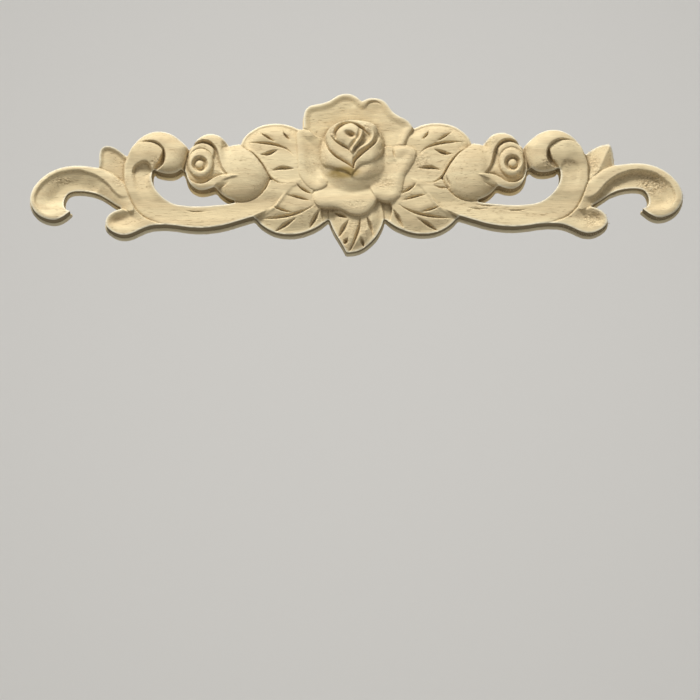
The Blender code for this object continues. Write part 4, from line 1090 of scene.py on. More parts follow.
# %% Wrapping petals
WRAP = ([(-14.6, 13.0), (-15.3, 8.5), (-14.3, 3.2), (-11.0, 1.4), (-8.0, 0.4), (-5.5, -0.4), (-3.5, -1.4),
         (-1.9, -2.6)],
        [(-1.9, -2.6), (-0.5, -0.6), (0.8, 0.8), (2.5, 2.1), (5.0, 2.9), (8.0, 4.3), (10.5, 6.8),
         (11.9, 9.8), (12.2, 13.5), (11.2, 18.0), (8.2, 21.4), (3.5, 23.0), (-2.5, 23.2), (-8.5, 21.8),
         (-12.4, 18.0), (-14.6, 13.0)])
FIRST_MOUTH = ([(-13.2, 15.5), (-13.0, 12.5), (-11.9, 9.4), (-10.0, 6.8), (-7.7, 4.9), (-5.6, 3.6),
                (-4.0, 2.5), (-2.6, 1.5), (-1.1, 0.4)],
               [(-1.1, 0.4), (-0.2, 3.6), (1.6, 5.6), (3.4, 7.3), (6.0, 9.5), (8.3, 11.8), (9.5, 14.6),
                (9.6, 17.6), (7.8, 20.4), (3.6, 21.9), (-2.0, 22.3), (-7.5, 21.2), (-11.5, 18.6),
                (-13.2, 15.5)])
SECOND_MOUTH = ([(-10.9, 15.6), (-10.2, 13.8), (-8.4, 12.1), (-6.7, 10.8), (-5.0, 9.5), (-3.5, 8.3),
                 (-2.1, 6.8), (-0.9, 4.9)],
                [(-0.9, 4.9), (-0.1, 6.3), (0.9, 7.8), (2.4, 9.0), (4.2, 10.1), (6.2, 11.6), (7.5, 13.4),
                 (7.8, 16.2), (6.0, 19.4), (2.0, 21.2), (-3.0, 21.6), (-7.6, 20.2), (-10.2, 18.2),
                 (-10.9, 15.6)])
MOUTH_TOP = 13.1


def wrap(x, z, depth):
    """The outermost petal, rolled over where it is low and sharper where it is high."""
    low = 1 - ramp(z, 9, 19)
    right_rim = 0.9 * ramp(x, 5, 9.5) * ramp(z, 9, 13) * (1 - ramp(z, 17, 20.5)) * ramp(depth, 0, 1.6)
    rolled = (0.5 + 1.2 * bulge(depth / 3.6)) * low + 1.3 * (1 - low) * ramp(depth, 0, 2.4)
    return ball(x, z) + right_rim + rolled


def first_mouth(x, z, depth):
    """A steep slope up from a deep foot on the right, and a rounded step on the left."""
    steep = np.clip(depth / 2.6, 0, 1) ** 0.8
    foot = 10.4 - 0.5 * ramp(x, -1.5, 1) + 2.4 * np.where(x > 0, ramp(z, 16, 20), ramp(z, 13, 17))
    return foot + (MOUTH_TOP - foot) * np.where(x > -1.5, steep, bulge(depth / 2.4))


def second_mouth(x, z, depth):
    """A thin crest, and behind it on the right a mouth that leads down to the heart."""
    rounded = 0.35 * (1 - bulge(depth / 0.7))
    mouth = 1.5 * ramp(depth, 0.5, 2.4) * ramp(x, -4, 0) * (1 - ramp(z, 14.5, 17.5))
    return MOUTH_TOP - rounded - mouth


relief.lay(outline(*WRAP), wrap)
relief.lay(outline(*FIRST_MOUTH), first_mouth)
relief.lay(outline(*SECOND_MOUTH), second_mouth)
print("wrapping petals laid, highest", relief.height.max().round(2))

# %% [markdown]
# ## The heart
#
# The heart is the highest spot of the whole carving. It is a small dome with a dimple, closed on
# its right by a fold with a thin rim. Last of all, knife cuts set the petals off from each other
# along the lines where they meet.

# %% Heart
HEART_TOP = 14.5
HEART = ([(-8.7, 14.4), (-8.7, 16.5), (-7.4, 18.6), (-5.3, 20.1), (-2.7, 20.7), (-0.5, 20.1), (1.4, 18.8),
          (3.0, 17.0)],
         [(3.0, 17.0), (2.9, 15.5), (2.2, 13.6), (0.8, 11.5), (-0.8, 9.3), (-1.7, 7.2)],
         [(-1.7, 7.2), (-2.9, 8.3), (-5.4, 10.3), (-7.8, 12.2), (-8.7, 14.4)])
DIMPLE = (-2.4, 15.2)
FRONT_CUT = [(-11.5, 15.7), (-9.5, 13.3), (-6.9, 11.1), (-3.9, 9.3), (-1.9, 7.2)]
HEART_CUT = [(-9.6, 12.9)] + HEART[0][:-2]
BACK_CUT = [(-2.6, 21.2), (-0.4, 20.2), (1.8, 18.8), (3.9, 17.0), (5.9, 15.0)]


def heart(x, z, depth):
    """A dome with a dimple, and a rim along its fold."""
    fold = distance_to(x, z, HEART[1])
    dome = HEART_TOP - 2.1 * (1 - bulge(depth / 3.0))
    rim = HEART_TOP - 0.2 - 1.1 * ramp(fold, 0.6, 1.5)
    pit = np.hypot((x - DIMPLE[0]) / 2.1, (z - DIMPLE[1] + 0.3 * (x - DIMPLE[0])) / 1.35)
    return rim + (dome - rim) * ramp(fold, 1.1, 2.8) - 2.3 * (1 - ramp(pit, 0.1, 1.45))


relief.lay(outline(*HEART), heart)
relief.cut(FIRST_MOUTH[0], width=0.6, slope=0.0, deep=0.7)
relief.cut(FRONT_CUT, width=0.6, slope=0.0, deep=1.0)
relief.cut(HEART_CUT, width=1.2, slope=1.7, deep=1.2)
relief.cut(BACK_CUT, width=0.8, slope=0.0, deep=1.4)
print("heart laid, highest", relief.height.max().round(2))

# %% [markdown]
# ## Marks of the hand
#
# No hand-finished surface is quite smooth. Two layers of uneven height are added: broad, shallow
# facets from the gouge, and fine raised fibres that run along the board. Both come from a table
# of random numbers with a fixed seed, stretched along the grain and read off smoothly.

# %% Gouge facets and raised fibres
FACET_HEIGHT = 0.07
FACET_SIZE = (3.6, 2.6)
FIBRE_HEIGHT = 0.04
FIBRE_SIZE = (2.4, 0.55)


def uneven(x, z, long, wide, seed):
    """Smooth random values from -1 to 1, in cells of that length and width."""
    table = np.random.default_rng(seed).uniform(-1, 1, (round(300 / long) + 3, round(90 / wide) + 3))
    u, v = (x + 150) / long, (z + 45) / wide
    i, j = np.floor(u).astype(int), np.floor(v).astype(int)
    s, t = ramp(u - i, 0, 1), ramp(v - j, 0, 1)
    low = table[i, j] * (1 - s) + table[i + 1, j] * s
    high = table[i, j + 1] * (1 - s) + table[i + 1, j + 1] * s
    return low * (1 - t) + high * t


relief.height += FACET_HEIGHT * uneven(relief.x, relief.z, *FACET_SIZE, 3)
relief.height += FIBRE_HEIGHT * uneven(relief.x, relief.z, *FIBRE_SIZE, 5)
print("height from", relief.height.min().round(2), "to", relief.height.max().round(2), "mm")

# %% [markdown]
# ## Torn wood
#
# A gouge that runs against the grain tears the wood instead of cutting it. In the photograph
# that shows as rough, speckled patches: in the hollow of the right end scroll, in the curl of
# the C, on the right small leaf. Each patch is an oval with a strength, and little pits are
# pressed into it. The strength is kept, because the material needs it again.

# %% Torn patches
TORN_PLACES = [((126.5, -5.5), (9.5, 7.0), 1.0), ((82.5, 3.0), (5.0, 4.4), 0.8),
               ((90.5, 3.6), (5.0, 1.6), 0.45), ((102.0, 2.5), (3.8, 7.0), 0.7),
               ((101.0, -21.0), (6.5, 6.0), 0.6), ((28.0, 5.0), (6.0, 6.0), 0.6),
               ((21.0, -9.0), (5.0, 4.5), 0.5), ((58.5, 13.0), (3.0, 4.0), 0.4),
               ((-126.0, -3.0), (8.0, 2.2), 0.6), ((-85.0, 4.0), (4.0, 4.2), 0.7),
               ((-101.0, -3.5), (5.0, 4.0), 0.5), ((-60.0, 2.0), (3.0, 6.0), 0.4),
               ((4.5, 18.5), (3.0, 2.4), 0.9), ((-9.6, 16.4), (1.6, 3.4), 1.0),
               ((12.5, -5.0), (7.0, 5.5), 0.4), ((0.0, -15.0), (9.0, 3.5), 0.4),
               ((-20.0, 5.0), (4.0, 9.0), 0.2), ((1.0, -26.0), (9.0, 8.0), 0.35)]
PIT_SIZE = (0.75, 0.55)
PIT_DEPTH = 0.25
PIT_FROM = 0.25

torn_wood = np.zeros(relief.x.shape)
for (place_x, place_z), (half_long, half_wide), share in TORN_PLACES:
    out = np.hypot((relief.x - place_x) / half_long, (relief.z - place_z) / half_wide)
    torn_wood = np.maximum(torn_wood, share * (1 - ramp(out, 0.3, 1.0)))
pits = np.clip(uneven(relief.x, relief.z, *PIT_SIZE, 21) - PIT_FROM, 0, 1)
relief.height -= PIT_DEPTH * torn_wood * pits
print(f"{len(TORN_PLACES)} torn patches on {100 * (torn_wood > 0).mean():.0f}% of the face")

# %% [markdown]
# ## Sanding, and walls that tear
#
# The heights are now put on the grid. One light pass of sanding takes the sharpest corners off:
# every spot moves a little towards its four neighbours. After that the steep walls are
# roughened, since a wall is cut across the grain and tears as well. How steep a spot is comes
# from the difference between the spots on both sides of it.

# %% Sand the grid and tear the walls
SANDED_SHARE = 0.1
TORN_DEPTH = 0.28
TORN_SIZE = (0.7, 0.45)
WALL_TORN = 0.45
STEEP_FROM = 0.5
STEEP_TO = 1.3
ASIDE_AND_DOWN = ((0, 1), (1, 0))

count = len(rows)
field = np.zeros(inside.shape)
field[rows, columns] = relief.height[:count]


def shifted(values, down, right):
    """The field moved by one spot; outside the wood each spot keeps its own value."""
    moved = np.roll(values, (down, right), axis=(0, 1))
    return np.where(np.roll(inside, (down, right), axis=(0, 1)), moved, values)


around = sum(shifted(field, down, right) for down, right in ((0, 1), (1, 0), (0, -1), (-1, 0)))
field = np.where(inside, (1 - 4 * SANDED_SHARE) * field + SANDED_SHARE * around, 0)
rises = [shifted(field, down, right) - shifted(field, -down, -right) for down, right in ASIDE_AND_DOWN]
slope_of_spots = np.hypot(*rises)[rows, columns] / (2 * GRID)
torn_field = np.zeros(inside.shape)
torn_walls = WALL_TORN * ramp(slope_of_spots, STEEP_FROM, STEEP_TO)
torn_field[rows, columns] = np.maximum(torn_wood[:count], torn_walls)
tears = uneven(plan[:count, 0], plan[:count, 1], *TORN_SIZE, 13)
field[rows, columns] += TORN_DEPTH * torn_field[rows, columns] * tears
print(f"steepest wall {math.degrees(math.atan(slope_of_spots.max())):.0f} degrees")

# %% [markdown]
# ## From heights to a mesh
#
# A full grid would spend most of its triangles on smooth wood. So the grid is kept whole only
# where the height bends: on walls, cuts and rims. Elsewhere every second spot is enough. The
# spots and the carved edge are then joined into triangles by a Delaunay triangulation, which
# makes them as even as it can and keeps the edge where it is.

# %% Choose the spots
BEND_KEPT = 0.115

bend = sum(abs(shifted(field, down, right) + shifted(field, -down, -right) - 2 * field)
           for down, right in ASIDE_AND_DOWN)
bends = bend > BEND_KEPT
for down in (-1, 0, 1):
    for right in (-1, 0, 1):
        bends = bends | np.roll(bend > BEND_KEPT, (down, right), axis=(0, 1))
even = (np.arange(inside.shape[0])[:, None] % 2 == 0) & (np.arange(inside.shape[1])[None, :] % 2 == 0)
kept = inside & ~near_edge & (bends | even)
kept_rows, kept_columns = np.nonzero(kept)
print(f"{kept.sum()} of {inside.sum()} grid spots kept, {(inside & bends).sum()} of them on bends")

# %% Triangles over the plan
MERGED = 1e-6

spots = np.concatenate([np.stack([grid_x[kept_columns], grid_z[kept_rows]], axis=1)] + carved_lines)
heights = np.concatenate([field[kept_rows, kept_columns], relief.height[count:]])


def edges_of(lines, first):
    """Index pairs round each closed line, when the lines' points follow each other from first."""
    made = []
    for line in lines:
        made += [(first + i, first + (i + 1) % len(line)) for i in range(len(line))]
        first += len(line)
    return made


def triangulated(points, borders):
    """Triangles between points, without those outside the border lines or in an opening."""
    made = delaunay_2d_cdt([Vector(p) for p in points], borders, [], 0, MERGED, False)
    at = np.array([v[:] for v in made[0]])
    faces = np.array(made[2])
    middle = at[faces].mean(axis=1)
    firsts, lasts = points[np.array(borders)].transpose(1, 0, 2)
    return at, faces[enclosed(middle[:, 0], middle[:, 1], firsts, lasts)]


front_spots, front_faces = triangulated(spots, edges_of(carved_lines, len(kept_rows)))
print(f"{len(front_spots)} spots for {len(spots)} given, {len(front_faces)} triangles on the front")

# %% [markdown]
# ## The border of the front
#
# The triangulation gives its own list of spots, so each is matched with the one it was made
# from, to find its height and its partner on the sawn outline. The border of the front is found
# in the same way as the border of the back was: a pair of spots that only one triangle uses.

# %% Match the spots and find the border
given = KDTree(len(spots))
for i, (x, z) in enumerate(spots):
    given.insert((x, z, 0), i)
given.balance()
nearest_given = np.array([given.find((x, z, 0))[1] for x, z in front_spots])
front_heights = heights[nearest_given]
sawn_partner = np.concatenate([spots[:len(kept_rows)]] + sawn_lines)[nearest_given]

pairs = set()
for a, b, c in front_faces.tolist():
    pairs |= {(a, b), (b, c), (c, a)}
border_pairs = np.array([pair for pair in pairs if pair[::-1] not in pairs])
border = np.unique(border_pairs)
place_in_row = {spot: i for i, spot in enumerate(border.tolist())}
carved_at, sawn_at, edge_height = front_spots[border], sawn_partner[border], front_heights[border]
print(f"{len(border)} border spots, {edge_height.min():.1f} to {edge_height.max():.1f} mm high")

# %% [markdown]
# ## Walls and ledge
#
# Round the border of the front the wall goes down in rows, each a copy of the border at another
# height: the eased carved edge, the wall itself, the little ledge out to the sawn outline, the
# sawn wall and the eased back edge. The middle rows are pushed in and out by a few hundredths of
# a millimetre, because a saw leaves its marks.

# %% Rows of the wall
LEDGE_TOP = 3.0
LEDGE_FOOT = 2.7
LEDGE_EASED = 0.1
EASED = 0.25
SAW_MARKS = 0.05
SAW_SIZE = (0.9, 0.9)

rough = SAW_MARKS * uneven(sawn_at[:, 0], sawn_at[:, 1], *SAW_SIZE, 8)[:, None]
out = (sawn_at - carved_at) / LEDGE_WIDTH


def wall_row(at, height):
    """The places on the plan, lifted to a height over the back."""
    return np.stack([at[:, 0], -np.broadcast_to(height, len(at)), at[:, 1]], axis=1)


wall_rows = [wall_row(carved_at + 0.05 * out, edge_height - EASED),
             wall_row(carved_at + rough * out, (edge_height + LEDGE_TOP) / 2),
             wall_row(carved_at - rough * out, LEDGE_TOP + LEDGE_EASED),
             wall_row(carved_at + 0.8 * LEDGE_WIDTH * out, LEDGE_TOP - LEDGE_EASED),
             wall_row(sawn_at + rough * out, LEDGE_FOOT),
             wall_row(sawn_at - rough * out, EASED),
             wall_row(sawn_at - 0.15 * out, 0.0)]
print(f"{len(border)} border spots in {len(wall_rows)} rows")

# %% [markdown]
# ## Back
#
# The back is flat, so a few triangles are enough for it. The last row of the wall is its border,
# and a loose grid of spots inside keeps the triangles from growing long and thin.

# %% Back triangles
BACK_GRID = 5.0
BACK_CLEAR = 1.5

back_x, back_z = np.meshgrid(np.arange(-138, 140, BACK_GRID), np.arange(-34, 36, BACK_GRID))
back_inner = np.stack([back_x.ravel(), back_z.ravel()], axis=1)
to_edge = np.array([given.find((x, z, 0), filter=lambda i: i >= len(kept_rows))[2] for x, z in back_inner])
clear = enclosed(*back_inner.T, starts, ends) & (to_edge > BACK_CLEAR)
row_pairs = [(place_in_row[a], place_in_row[b]) for a, b in border_pairs.tolist()]
back_given = np.concatenate([wall_rows[-1][:, [0, 2]], back_inner[clear]])
back_spots, back_faces = triangulated(back_given, row_pairs)
print(f"{len(back_faces)} triangles on the back")

# %% [markdown]
# ## From the front to the back
#
# The front, the rows of the wall and the back share their spots, so that together they close
# like a box. Every face also gets a number that says which finish it has: carved face, carved
# side above the ledge, sawn edge from the ledge down, or planed back.

# %% Faces and their finish
CARVED_FACE, CARVED_SIDE, SAWN_EDGE, PLANED_BACK = range(4)
LEDGE_ROW = 3

points = [np.stack([front_spots[:, 0], -front_heights, front_spots[:, 1]], axis=1)] + wall_rows
faces = front_faces.tolist()
finish = [CARVED_FACE] * len(faces)
upper = {spot: spot for spot in border.tolist()}
for number in range(len(wall_rows)):
    lower = {spot: len(front_spots) + number * len(border) + i for spot, i in place_in_row.items()}
    faces += [(upper[a], lower[a], lower[b], upper[b]) for a, b in border_pairs.tolist()]
    finish += [CARVED_SIDE if number < LEDGE_ROW else SAWN_EDGE] * (len(faces) - len(finish))
    upper = lower
first_back = len(front_spots) + (len(wall_rows) - 1) * len(border)
faces += [[first_back + i for i in face[::-1]] for face in back_faces.tolist()]
finish += [PLANED_BACK] * (len(faces) - len(finish))
extra = back_spots[len(border):]
points.append(np.stack([extra[:, 0], np.zeros(len(extra)), extra[:, 1]], axis=1))
print(len(faces), "faces,", [finish.count(kind) for kind in range(4)], "of each finish")

# %% [markdown]
# ## Loose fibres
#
# The sawn side of the real piece is furry in places: round the right lobe, along the openings,
# at the tip of the right hook. Hair particles would do it, but they don't travel with a part to
# other programs. So each fibre is a small closed needle with three sides, whose root sits inside
# the wood. The places are boxes on the plan, each with its number of fibres.

# %% Loose fibres
FIBRE_PLACES = [((88, 109), (-29, -15), 110), ((119, 141), (-22, -9), 50), ((71, 88), (-3, 2), 45),
                ((58, 75), (-9, -2), 24), ((95, 112), (-9, 13), 24), ((54, 66), (13, 18), 14),
                ((-88, -71), (-3, 3), 24), ((-75, -58), (-9, -2), 24), ((-125, -112), (-14, -6), 16)]
FIBRE_SEED = 17
FIBRE_LEAN = 0.8
FIBRE_ROOT = 0.25
FIBRE_THICK = (0.1, 0.18)
FIBRE_LONG = (0.7, 1.9)
NEEDLE_FACES = ((2, 1, 0), (0, 1, 3), (1, 2, 3), (2, 0, 3))

random = np.random.default_rng(FIBRE_SEED)
outward = np.array([out[:, 0], np.zeros(len(out)), out[:, 1]]).T


def fibre(spot):
    """The four points of a needle that grows out of the wall at a border spot."""
    lean = outward[spot] + random.uniform(-FIBRE_LEAN, FIBRE_LEAN, 3)
    lean /= np.linalg.norm(lean)
    aside = np.cross(lean, (0.3, 0.9, 0.3))
    aside /= np.linalg.norm(aside)
    height = random.uniform(LEDGE_TOP + 0.5, edge_height[spot] - 0.3)
    root = np.array([carved_at[spot, 0], -height, carved_at[spot, 1]]) - FIBRE_ROOT * outward[spot]
    thick = random.uniform(*FIBRE_THICK)
    sideways = [math.cos(turn) * aside + math.sin(turn) * np.cross(lean, aside) for turn in (0, 2.1, 4.2)]
    return np.array([root + thick * way for way in sideways] + [root + lean * random.uniform(*FIBRE_LONG)])


first_fibre = len(np.concatenate(points))
fibres = []
for (x_from, x_to), (z_from, z_to), how_many in FIBRE_PLACES:
    held = np.nonzero((carved_at[:, 0] > x_from) & (carved_at[:, 0] < x_to)
                      & (carved_at[:, 1] > z_from) & (carved_at[:, 1] < z_to))[0]
    fibres += [fibre(spot) for spot in random.choice(held, how_many)]
for number in range(len(fibres)):
    faces += [tuple(first_fibre + 4 * number + i for i in face) for face in NEEDLE_FACES]
points += fibres
finish += [SAWN_EDGE] * (len(faces) - len(finish))
print(len(fibres), "loose fibres")

# %% [markdown]
# ## One closed mesh
#
# Now the mesh is made, in metres. Two things are worth a check. `validate` says whether it had
# to mend anything. And in a closed mesh every edge has exactly two faces, so an edge with any
# other number would be a hole or a fold.

# %% Make the mesh
carving_mesh = bpy.data.meshes.new("carved_applique")
carving_mesh.from_pydata((np.concatenate(points) * MM).tolist(), [], faces)
carving_mesh.polygons.foreach_set("material_index", finish)
carving_mesh.shade_smooth()
carving = bpy.data.objects.new("carved_applique", carving_mesh)
bpy.context.scene.collection.objects.link(carving)
mended = carving_mesh.validate()
edge_of_corner = np.zeros(len(carving_mesh.loops), int)
carving_mesh.loops.foreach_get("edge_index", edge_of_corner)
uses = np.bincount(edge_of_corner, minlength=len(carving_mesh.edges))
print("mended:", mended, "edges without two faces:", np.count_nonzero(uses != 2))
print("triangles:", sum(len(face) - 2 for face in faces))

# %% [markdown]
# ## What the material has to know
#
# Dust and fingers darken the bottoms of cuts, and painted shade darkens the cuts and the broad
# hollows further. Sanding leaves the borders pale. The walls that face down get painted light:
# painted shade on the carved side, a painted highlight on the sawn edge. A shader doesn't know
# where those are, so each spot of the mesh keeps four numbers, which the shader reads by name.
#
# `hollow` is how far a spot lies under the mean height round it, in millimetres. The mean is
# taken close by, for the cuts, and further out, for the broad hollows, which count for less.
# `border` grows with the share of the square round a spot that lies outside the wood. `torn` is
# the strength of the tearing from before. `underside` is 1 on the walls that face down.

# %% Store the four numbers
CUT_REACH = 4
HOLLOW_REACH = 16
HOLLOW_SHARE = 0.42
BORDER_REACH = 4
DOWN_FROM = -0.3
DOWN_TO = 0.8


def sum_round(values, reach):
    """Sum over the square of spots round each one."""
    s = np.pad(values.astype(float), ((reach + 1, reach), (reach + 1, reach))).cumsum(0).cumsum(1)
    side = 2 * reach + 1
    return s[side:, side:] - s[:-side, side:] - s[side:, :-side] + s[:-side, :-side]


def sunk(reach):
    """How far each spot lies under the mean height of the square round it."""
    return sum_round(field, reach) / np.maximum(sum_round(inside, reach), 1) - field


def store(name, first, values):
    """Writes a number for a run of the mesh's spots, starting at first, and 0 for all the others."""
    stored = np.zeros(len(carving_mesh.vertices), np.float32)
    stored[first:first + len(values)] = values
    carving_mesh.attributes.new(name, "FLOAT", "POINT").data.foreach_set("value", stored)
    print(name, "from", stored.min().round(2), "to", stored.max().round(2))


def on_front(values, on_border):
    """A field of the grid as numbers for the spots of the front, with one value for the border."""
    edge = np.full(len(spots) - len(kept_rows), on_border)
    return np.concatenate([values[kept_rows, kept_columns], edge])[nearest_given]


square = (2 * BORDER_REACH + 1) ** 2
# The material reads this number for dust and painted shade in the cuts and hollows.
store("hollow", 0, on_front(sunk(CUT_REACH) + HOLLOW_SHARE * sunk(HOLLOW_REACH), 0))
store("border", 0, on_front(2 - 2 * sum_round(inside, BORDER_REACH) / square, 1))
store("torn", 0, on_front(torn_field, 0))
# This number marks the walls that face down; the material paints shade there on the carved side and a
# highlight on the sawn edge.
store("underside", len(front_spots), np.tile(ramp(-out[:, 1], DOWN_FROM, DOWN_TO), len(wall_rows)))

# %% [markdown]
# ## Writing a material as sums
#
# A shader is a small graph of nodes, and most of them do sums. `Wire` holds one output of that
# graph and makes the sums readable: `1 - mask` adds a Math node and gives back its output. Any
# other node comes from its `node` method.


# %% Wire
class Wire:
    """One output of a material's nodes, used in sums as if it were a number."""

    def __init__(self, tree, socket=None):
        self.tree, self.socket = tree, socket

    def node(self, kind, settings=(), values=(), output=0):
        """Adds a node: first its settings, then numbers, colours or wires into its sockets."""
        made = self.tree.nodes.new(kind)
        for name, value in dict(settings).items():
            setattr(made, name, value)
        for name, value in dict(values).items():
            if isinstance(value, Wire):
                self.tree.links.new(value.socket, made.inputs[name])
            else:
                made.inputs[name].default_value = value
        return Wire(self.tree, made.outputs[output])

    def sum(self, operation, first, second):
        """Two values through one Math node."""
        return self.node("ShaderNodeMath", {"operation": operation}, {0: first, 1: second})

    def __add__(self, other):
        return self.sum("ADD", self, other)

    def __sub__(self, other):
        return self.sum("SUBTRACT", self, other)

    def __rsub__(self, other):
        return self.sum("SUBTRACT", other, self)

    def __mul__(self, other):
        return self.sum("MULTIPLY", self, other)

    __radd__, __rmul__ = __add__, __mul__

    def step(self, start, end):
        """0 up to start, 1 from end on, and soft between them."""
        settings = {"interpolation_type": "SMOOTHSTEP"}
        return self.node("ShaderNodeMapRange", settings, {"Value": self, "From Min": start, "From Max": end})

    def times(self, factors):
        """A vector with each of its parts multiplied."""
        return self.node("ShaderNodeVectorMath", {"operation": "MULTIPLY"}, {0: self, 1: factors})

    def moved(self, offset):
        """A vector with another one added."""
        return self.node("ShaderNodeVectorMath", {"operation": "ADD"}, {0: self, 1: offset})

    def part(self, axis):
        """One part of a vector: X, Y or Z."""
        return self.node("ShaderNodeSeparateXYZ", values={0: self}, output=axis)

    def stored(self, name):
        """The number that the mesh keeps under a name."""
        return self.node("ShaderNodeAttribute", {"attribute_name": name}, output="Fac")

    def noise(self, long, wide, detail=2.0, offset=0.0):
        """Noise over this place in millimetres, in cells that lie along the grain."""
        stretched = self.node("ShaderNodeVectorMath", {"operation": "MULTIPLY_ADD"},
                              {0: self, 1: (1 / long, 1 / wide, 1 / wide), 2: (offset, offset, offset)})
        return self.node("ShaderNodeTexNoise", {}, {"Vector": stretched, "Scale": 1.0, "Detail": detail})


def blended(first, second, share, kind="MIX"):
    """Two colours mixed, by a share that may be a wire."""
    wire = next(value for value in (first, second, share) if isinstance(value, Wire))
    settings = {"data_type": "RGBA", "blend_type": kind}
    return wire.node("ShaderNodeMix", settings, {0: share, 6: first, 7: second}, 2)


print("a wire can", [name for name in vars(Wire) if not name.startswith("_")])

# %% [markdown]
# ## The grain of rubberwood
#
# Unfinished rubberwood is a pale cream with slightly darker, slightly pinker streaks along the
# board, and short brown dashes where long vessels are cut open. A flat picture of wood could be
# stretched over the carving, but it would smear down the walls. Here everything is worked out
# from the place in the wood and drawn out along its length, so the grain runs through the
# carving and shows as dashes on the face and as dots on an end, as it does when wood is cut.

# %% Grain
CREAM = (0.768, 0.660, 0.425, 1)
WOOD = (0.686, 0.565, 0.345, 1)
TAN = (0.585, 0.440, 0.255, 1)
VESSEL = (0.360, 0.245, 0.125, 1)
SWAY = (0.5, 3.0, 3.0)


def grain(place):
    """Streaks, broad patches, fine strands and open vessels, each a wire from 0 to 1."""
    swaying = place.moved(place.noise(34, 15, 1).times(SWAY))
    band = swaying.noise(70, 3.0, 3).step(0.38, 0.66)
    patch = place.noise(46, 16, 1, 7).step(0.35, 0.66)
    strand = swaying.noise(8, 0.36, 2, 3)
    vessel = swaying.noise(3.6, 0.27, 1, 11).step(0.64, 0.71) * place.noise(22, 6, 1, 5).step(0.36, 0.56)
    return band, patch, strand, vessel


def bare_wood(grain_wires, streaks, vessels):
    """The colour of freshly cut wood, with streaks and vessels of a strength from 0 to 1."""
    band, patch, strand, vessel = grain_wires
    colour = blended(CREAM, WOOD, 1 - patch * 0.5)
    colour = blended(colour, TAN, band * streaks)
    colour = blended(colour, VESSEL, vessel * vessels)
    return blended(colour, 1 + (strand - 0.5) * (0.9 * streaks), 1.0, "MULTIPLY")


print("wood colours:", CREAM[:3], WOOD[:3], TAN[:3])

# %% [markdown]
# ## Dirt, painted light and shade, wear and one stain
#
# The stored numbers are used here. Cuts and hollows get a brown that is broken up into specks:
# partly dust that settles in them, partly painted shade. Crests and borders are paler. Torn wood
# is tan with dark and pale specks. The walls that face down are toned darker on the carved side,
# a painted shade, and a little paler on the sawn edge, a painted highlight. Under the cup the real
# piece has one greenish brown stain. It is an oval on the plan, and it is kept to the front by the
# height over the back, because the grain goes right through the board.

# %% Dirt, painted light and shade, wear and stain
DIRT_AND_SHADE_BROWN = (0.285, 0.203, 0.105, 1)
RIM = (0.830, 0.728, 0.490, 1)
PALE_EDGE = (0.860, 0.840, 0.700, 1)
STAIN = (0.410, 0.290, 0.100, 1)
STAIN_CENTRE = (-5.2, -1.2)
STAIN_RADII = (7.0, 2.5)
STAIN_FROM = 5
STAIN_FULL = 7
STAIN_SHARE = 0.95
CUT_SHARE = 0.46
SPECK_SHARE = 0.4
CREST_SHARE = 0.22
TORN_TAN_SHARE = 0.4
TORN_DARK_SHARE = 0.65
TORN_PALE_SHARE = 0.4
BORDER_SHARE = 0.55


def wear_and_painted_light(colour, place, underside):
    """Dust and painted shade in hollows, pale crests and borders, torn grain, painted light on walls facing
    down.
    """
    hollow, torn = place.stored("hollow"), place.stored("torn")
    specks = place.noise(0.8, 0.6, 2, 23).step(0.42, 0.6)
    # Darker cuts and hollows: dust that settles in them, and painted shade.
    colour = blended(colour, DIRT_AND_SHADE_BROWN, hollow.step(0.1, 1.3) * (CUT_SHARE + specks * SPECK_SHARE))
    colour = blended(colour, RIM, (0 - hollow).step(0.08, 0.8) * CREST_SHARE)
    colour = blended(colour, TAN, torn * TORN_TAN_SHARE)
    dark_specks = place.noise(0.9, 0.6, 1, 13).step(0.5, 0.6)
    pale_specks = place.noise(1.0, 0.6, 1, 17).step(0.54, 0.62)
    colour = blended(colour, DIRT_AND_SHADE_BROWN, torn * dark_specks * TORN_DARK_SHARE)
    colour = blended(colour, RIM, torn * pale_specks * TORN_PALE_SHARE)
    colour = blended(colour, PALE_EDGE, place.stored("border").step(0.05, 0.9) * BORDER_SHARE)
    # Painted light on walls that face down: painted shade on the carved side, a painted highlight on the
    # sawn edge.
    return blended(colour, underside, place.stored("underside"), "MULTIPLY")


def stained(colour, place):
    """The stain under the cup."""
    aside = (place.part("X") - STAIN_CENTRE[0]) * (1 / STAIN_RADII[0])
    above = (place.part("Z") - STAIN_CENTRE[1]) * (1 / STAIN_RADII[1])
    on_front_only = (0 - place.part("Y")).step(STAIN_FROM, STAIN_FULL)
    inside_oval = 1 - (aside * aside + above * above).step(0.15, 1.5)
    mottled = place.noise(3, 1.1, 2, 2).step(0.1, 0.5)
    return blended(colour, STAIN, inside_oval * on_front_only * mottled * STAIN_SHARE)


print("stain, mm across and up:", [2 * radius for radius in STAIN_RADII])

# %% [markdown]
# ## Four finishes from one recipe
#
# The same recipe makes four finishes, and only its strengths differ. The carved face shows its
# cuts and borders. The carved side is toned down where it faces down, because the pale floor
# throws more light up at it than it gets in the photograph. The sawn edge below the ledge is
# fuzzy and a little paler. The planed back shows the grain most clearly. Strands, fuzz and
# vessels also feed a bump, for what is too small for the mesh.

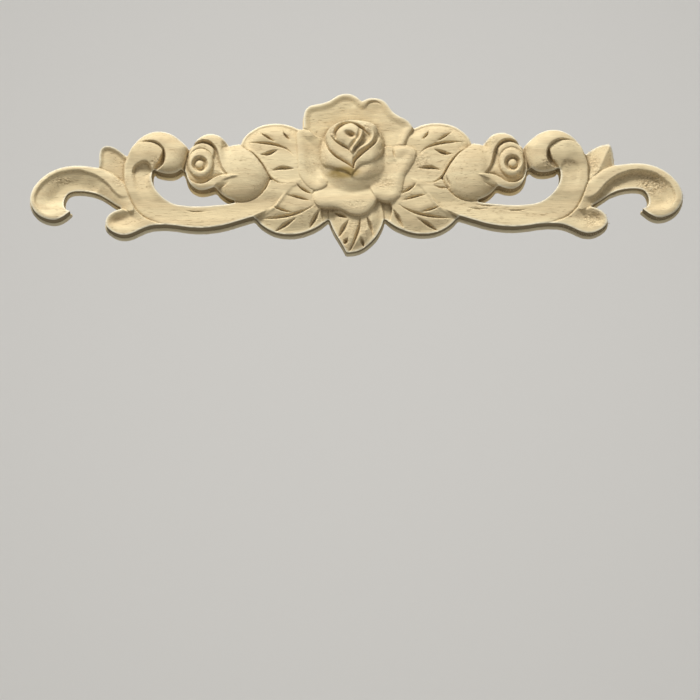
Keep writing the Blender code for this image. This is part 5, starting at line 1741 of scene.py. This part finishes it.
# %% Rubberwood recipe
DULL = 0.66
STRAND_DULL = 0.22
SPECULAR = 0.3
BUMP_STRENGTH = 0.8
STRAND_RELIEF = 0.1
TORN_RELIEF = 0.2
VESSEL_RELIEF = 0.14


def rubberwood(name, streaks, vessels, fuzz, underside=(1, 1, 1, 1)):
    """One finish: streaks and open vessels from 0 to 1, and fuzz of a depth in millimetres."""
    material = bpy.data.materials.new(name)
    material.use_nodes = True
    shader = material.node_tree.nodes["Principled BSDF"]
    in_metres = Wire(material.node_tree).node("ShaderNodeTexCoord", output="Object")
    place = in_metres.times((1 / MM, 1 / MM, 1 / MM))
    grain_wires = grain(place)
    strand, vessel = grain_wires[2:]
    colour = stained(wear_and_painted_light(bare_wood(grain_wires, streaks, vessels), place, underside), place)

    fuzzy = place.noise(0.45, 0.3, 2, 9) * (place.stored("torn") * TORN_RELIEF + fuzz)
    depth = (strand - 0.5) * STRAND_RELIEF + fuzzy - vessel * (VESSEL_RELIEF * vessels)
    bump_values = {"Height": depth, "Distance": MM, "Strength": BUMP_STRENGTH}
    bump = place.node("ShaderNodeBump", values=bump_values, output="Normal")
    roughness = DULL + strand * STRAND_DULL
    for socket, value in (("Base Color", colour), ("Roughness", roughness), ("Normal", bump)):
        material.node_tree.links.new(value.socket, shader.inputs[socket])
    shader.inputs["Specular IOR Level"].default_value = SPECULAR
    carving_mesh.materials.append(material)
    print(name, len(material.node_tree.nodes), "nodes")


rubberwood("carved_face", streaks=0.42, vessels=0.75, fuzz=0.1)
# Painted shade: the carved side is darkened where it faces down.
rubberwood("carved_side", streaks=0.3, vessels=0.4, fuzz=0.12, underside=(0.37, 0.35, 0.31, 1))
# Painted highlight: the sawn edge is made paler where it faces down.
rubberwood("sawn_edge", streaks=0.3, vessels=0.4, fuzz=0.12, underside=(1.08, 1.14, 1.25, 1))
rubberwood("planed_back", streaks=0.8, vessels=0.8, fuzz=0.03)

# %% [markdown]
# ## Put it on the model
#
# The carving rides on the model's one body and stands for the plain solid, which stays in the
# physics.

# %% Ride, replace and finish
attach(carving, "root")
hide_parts("applique")
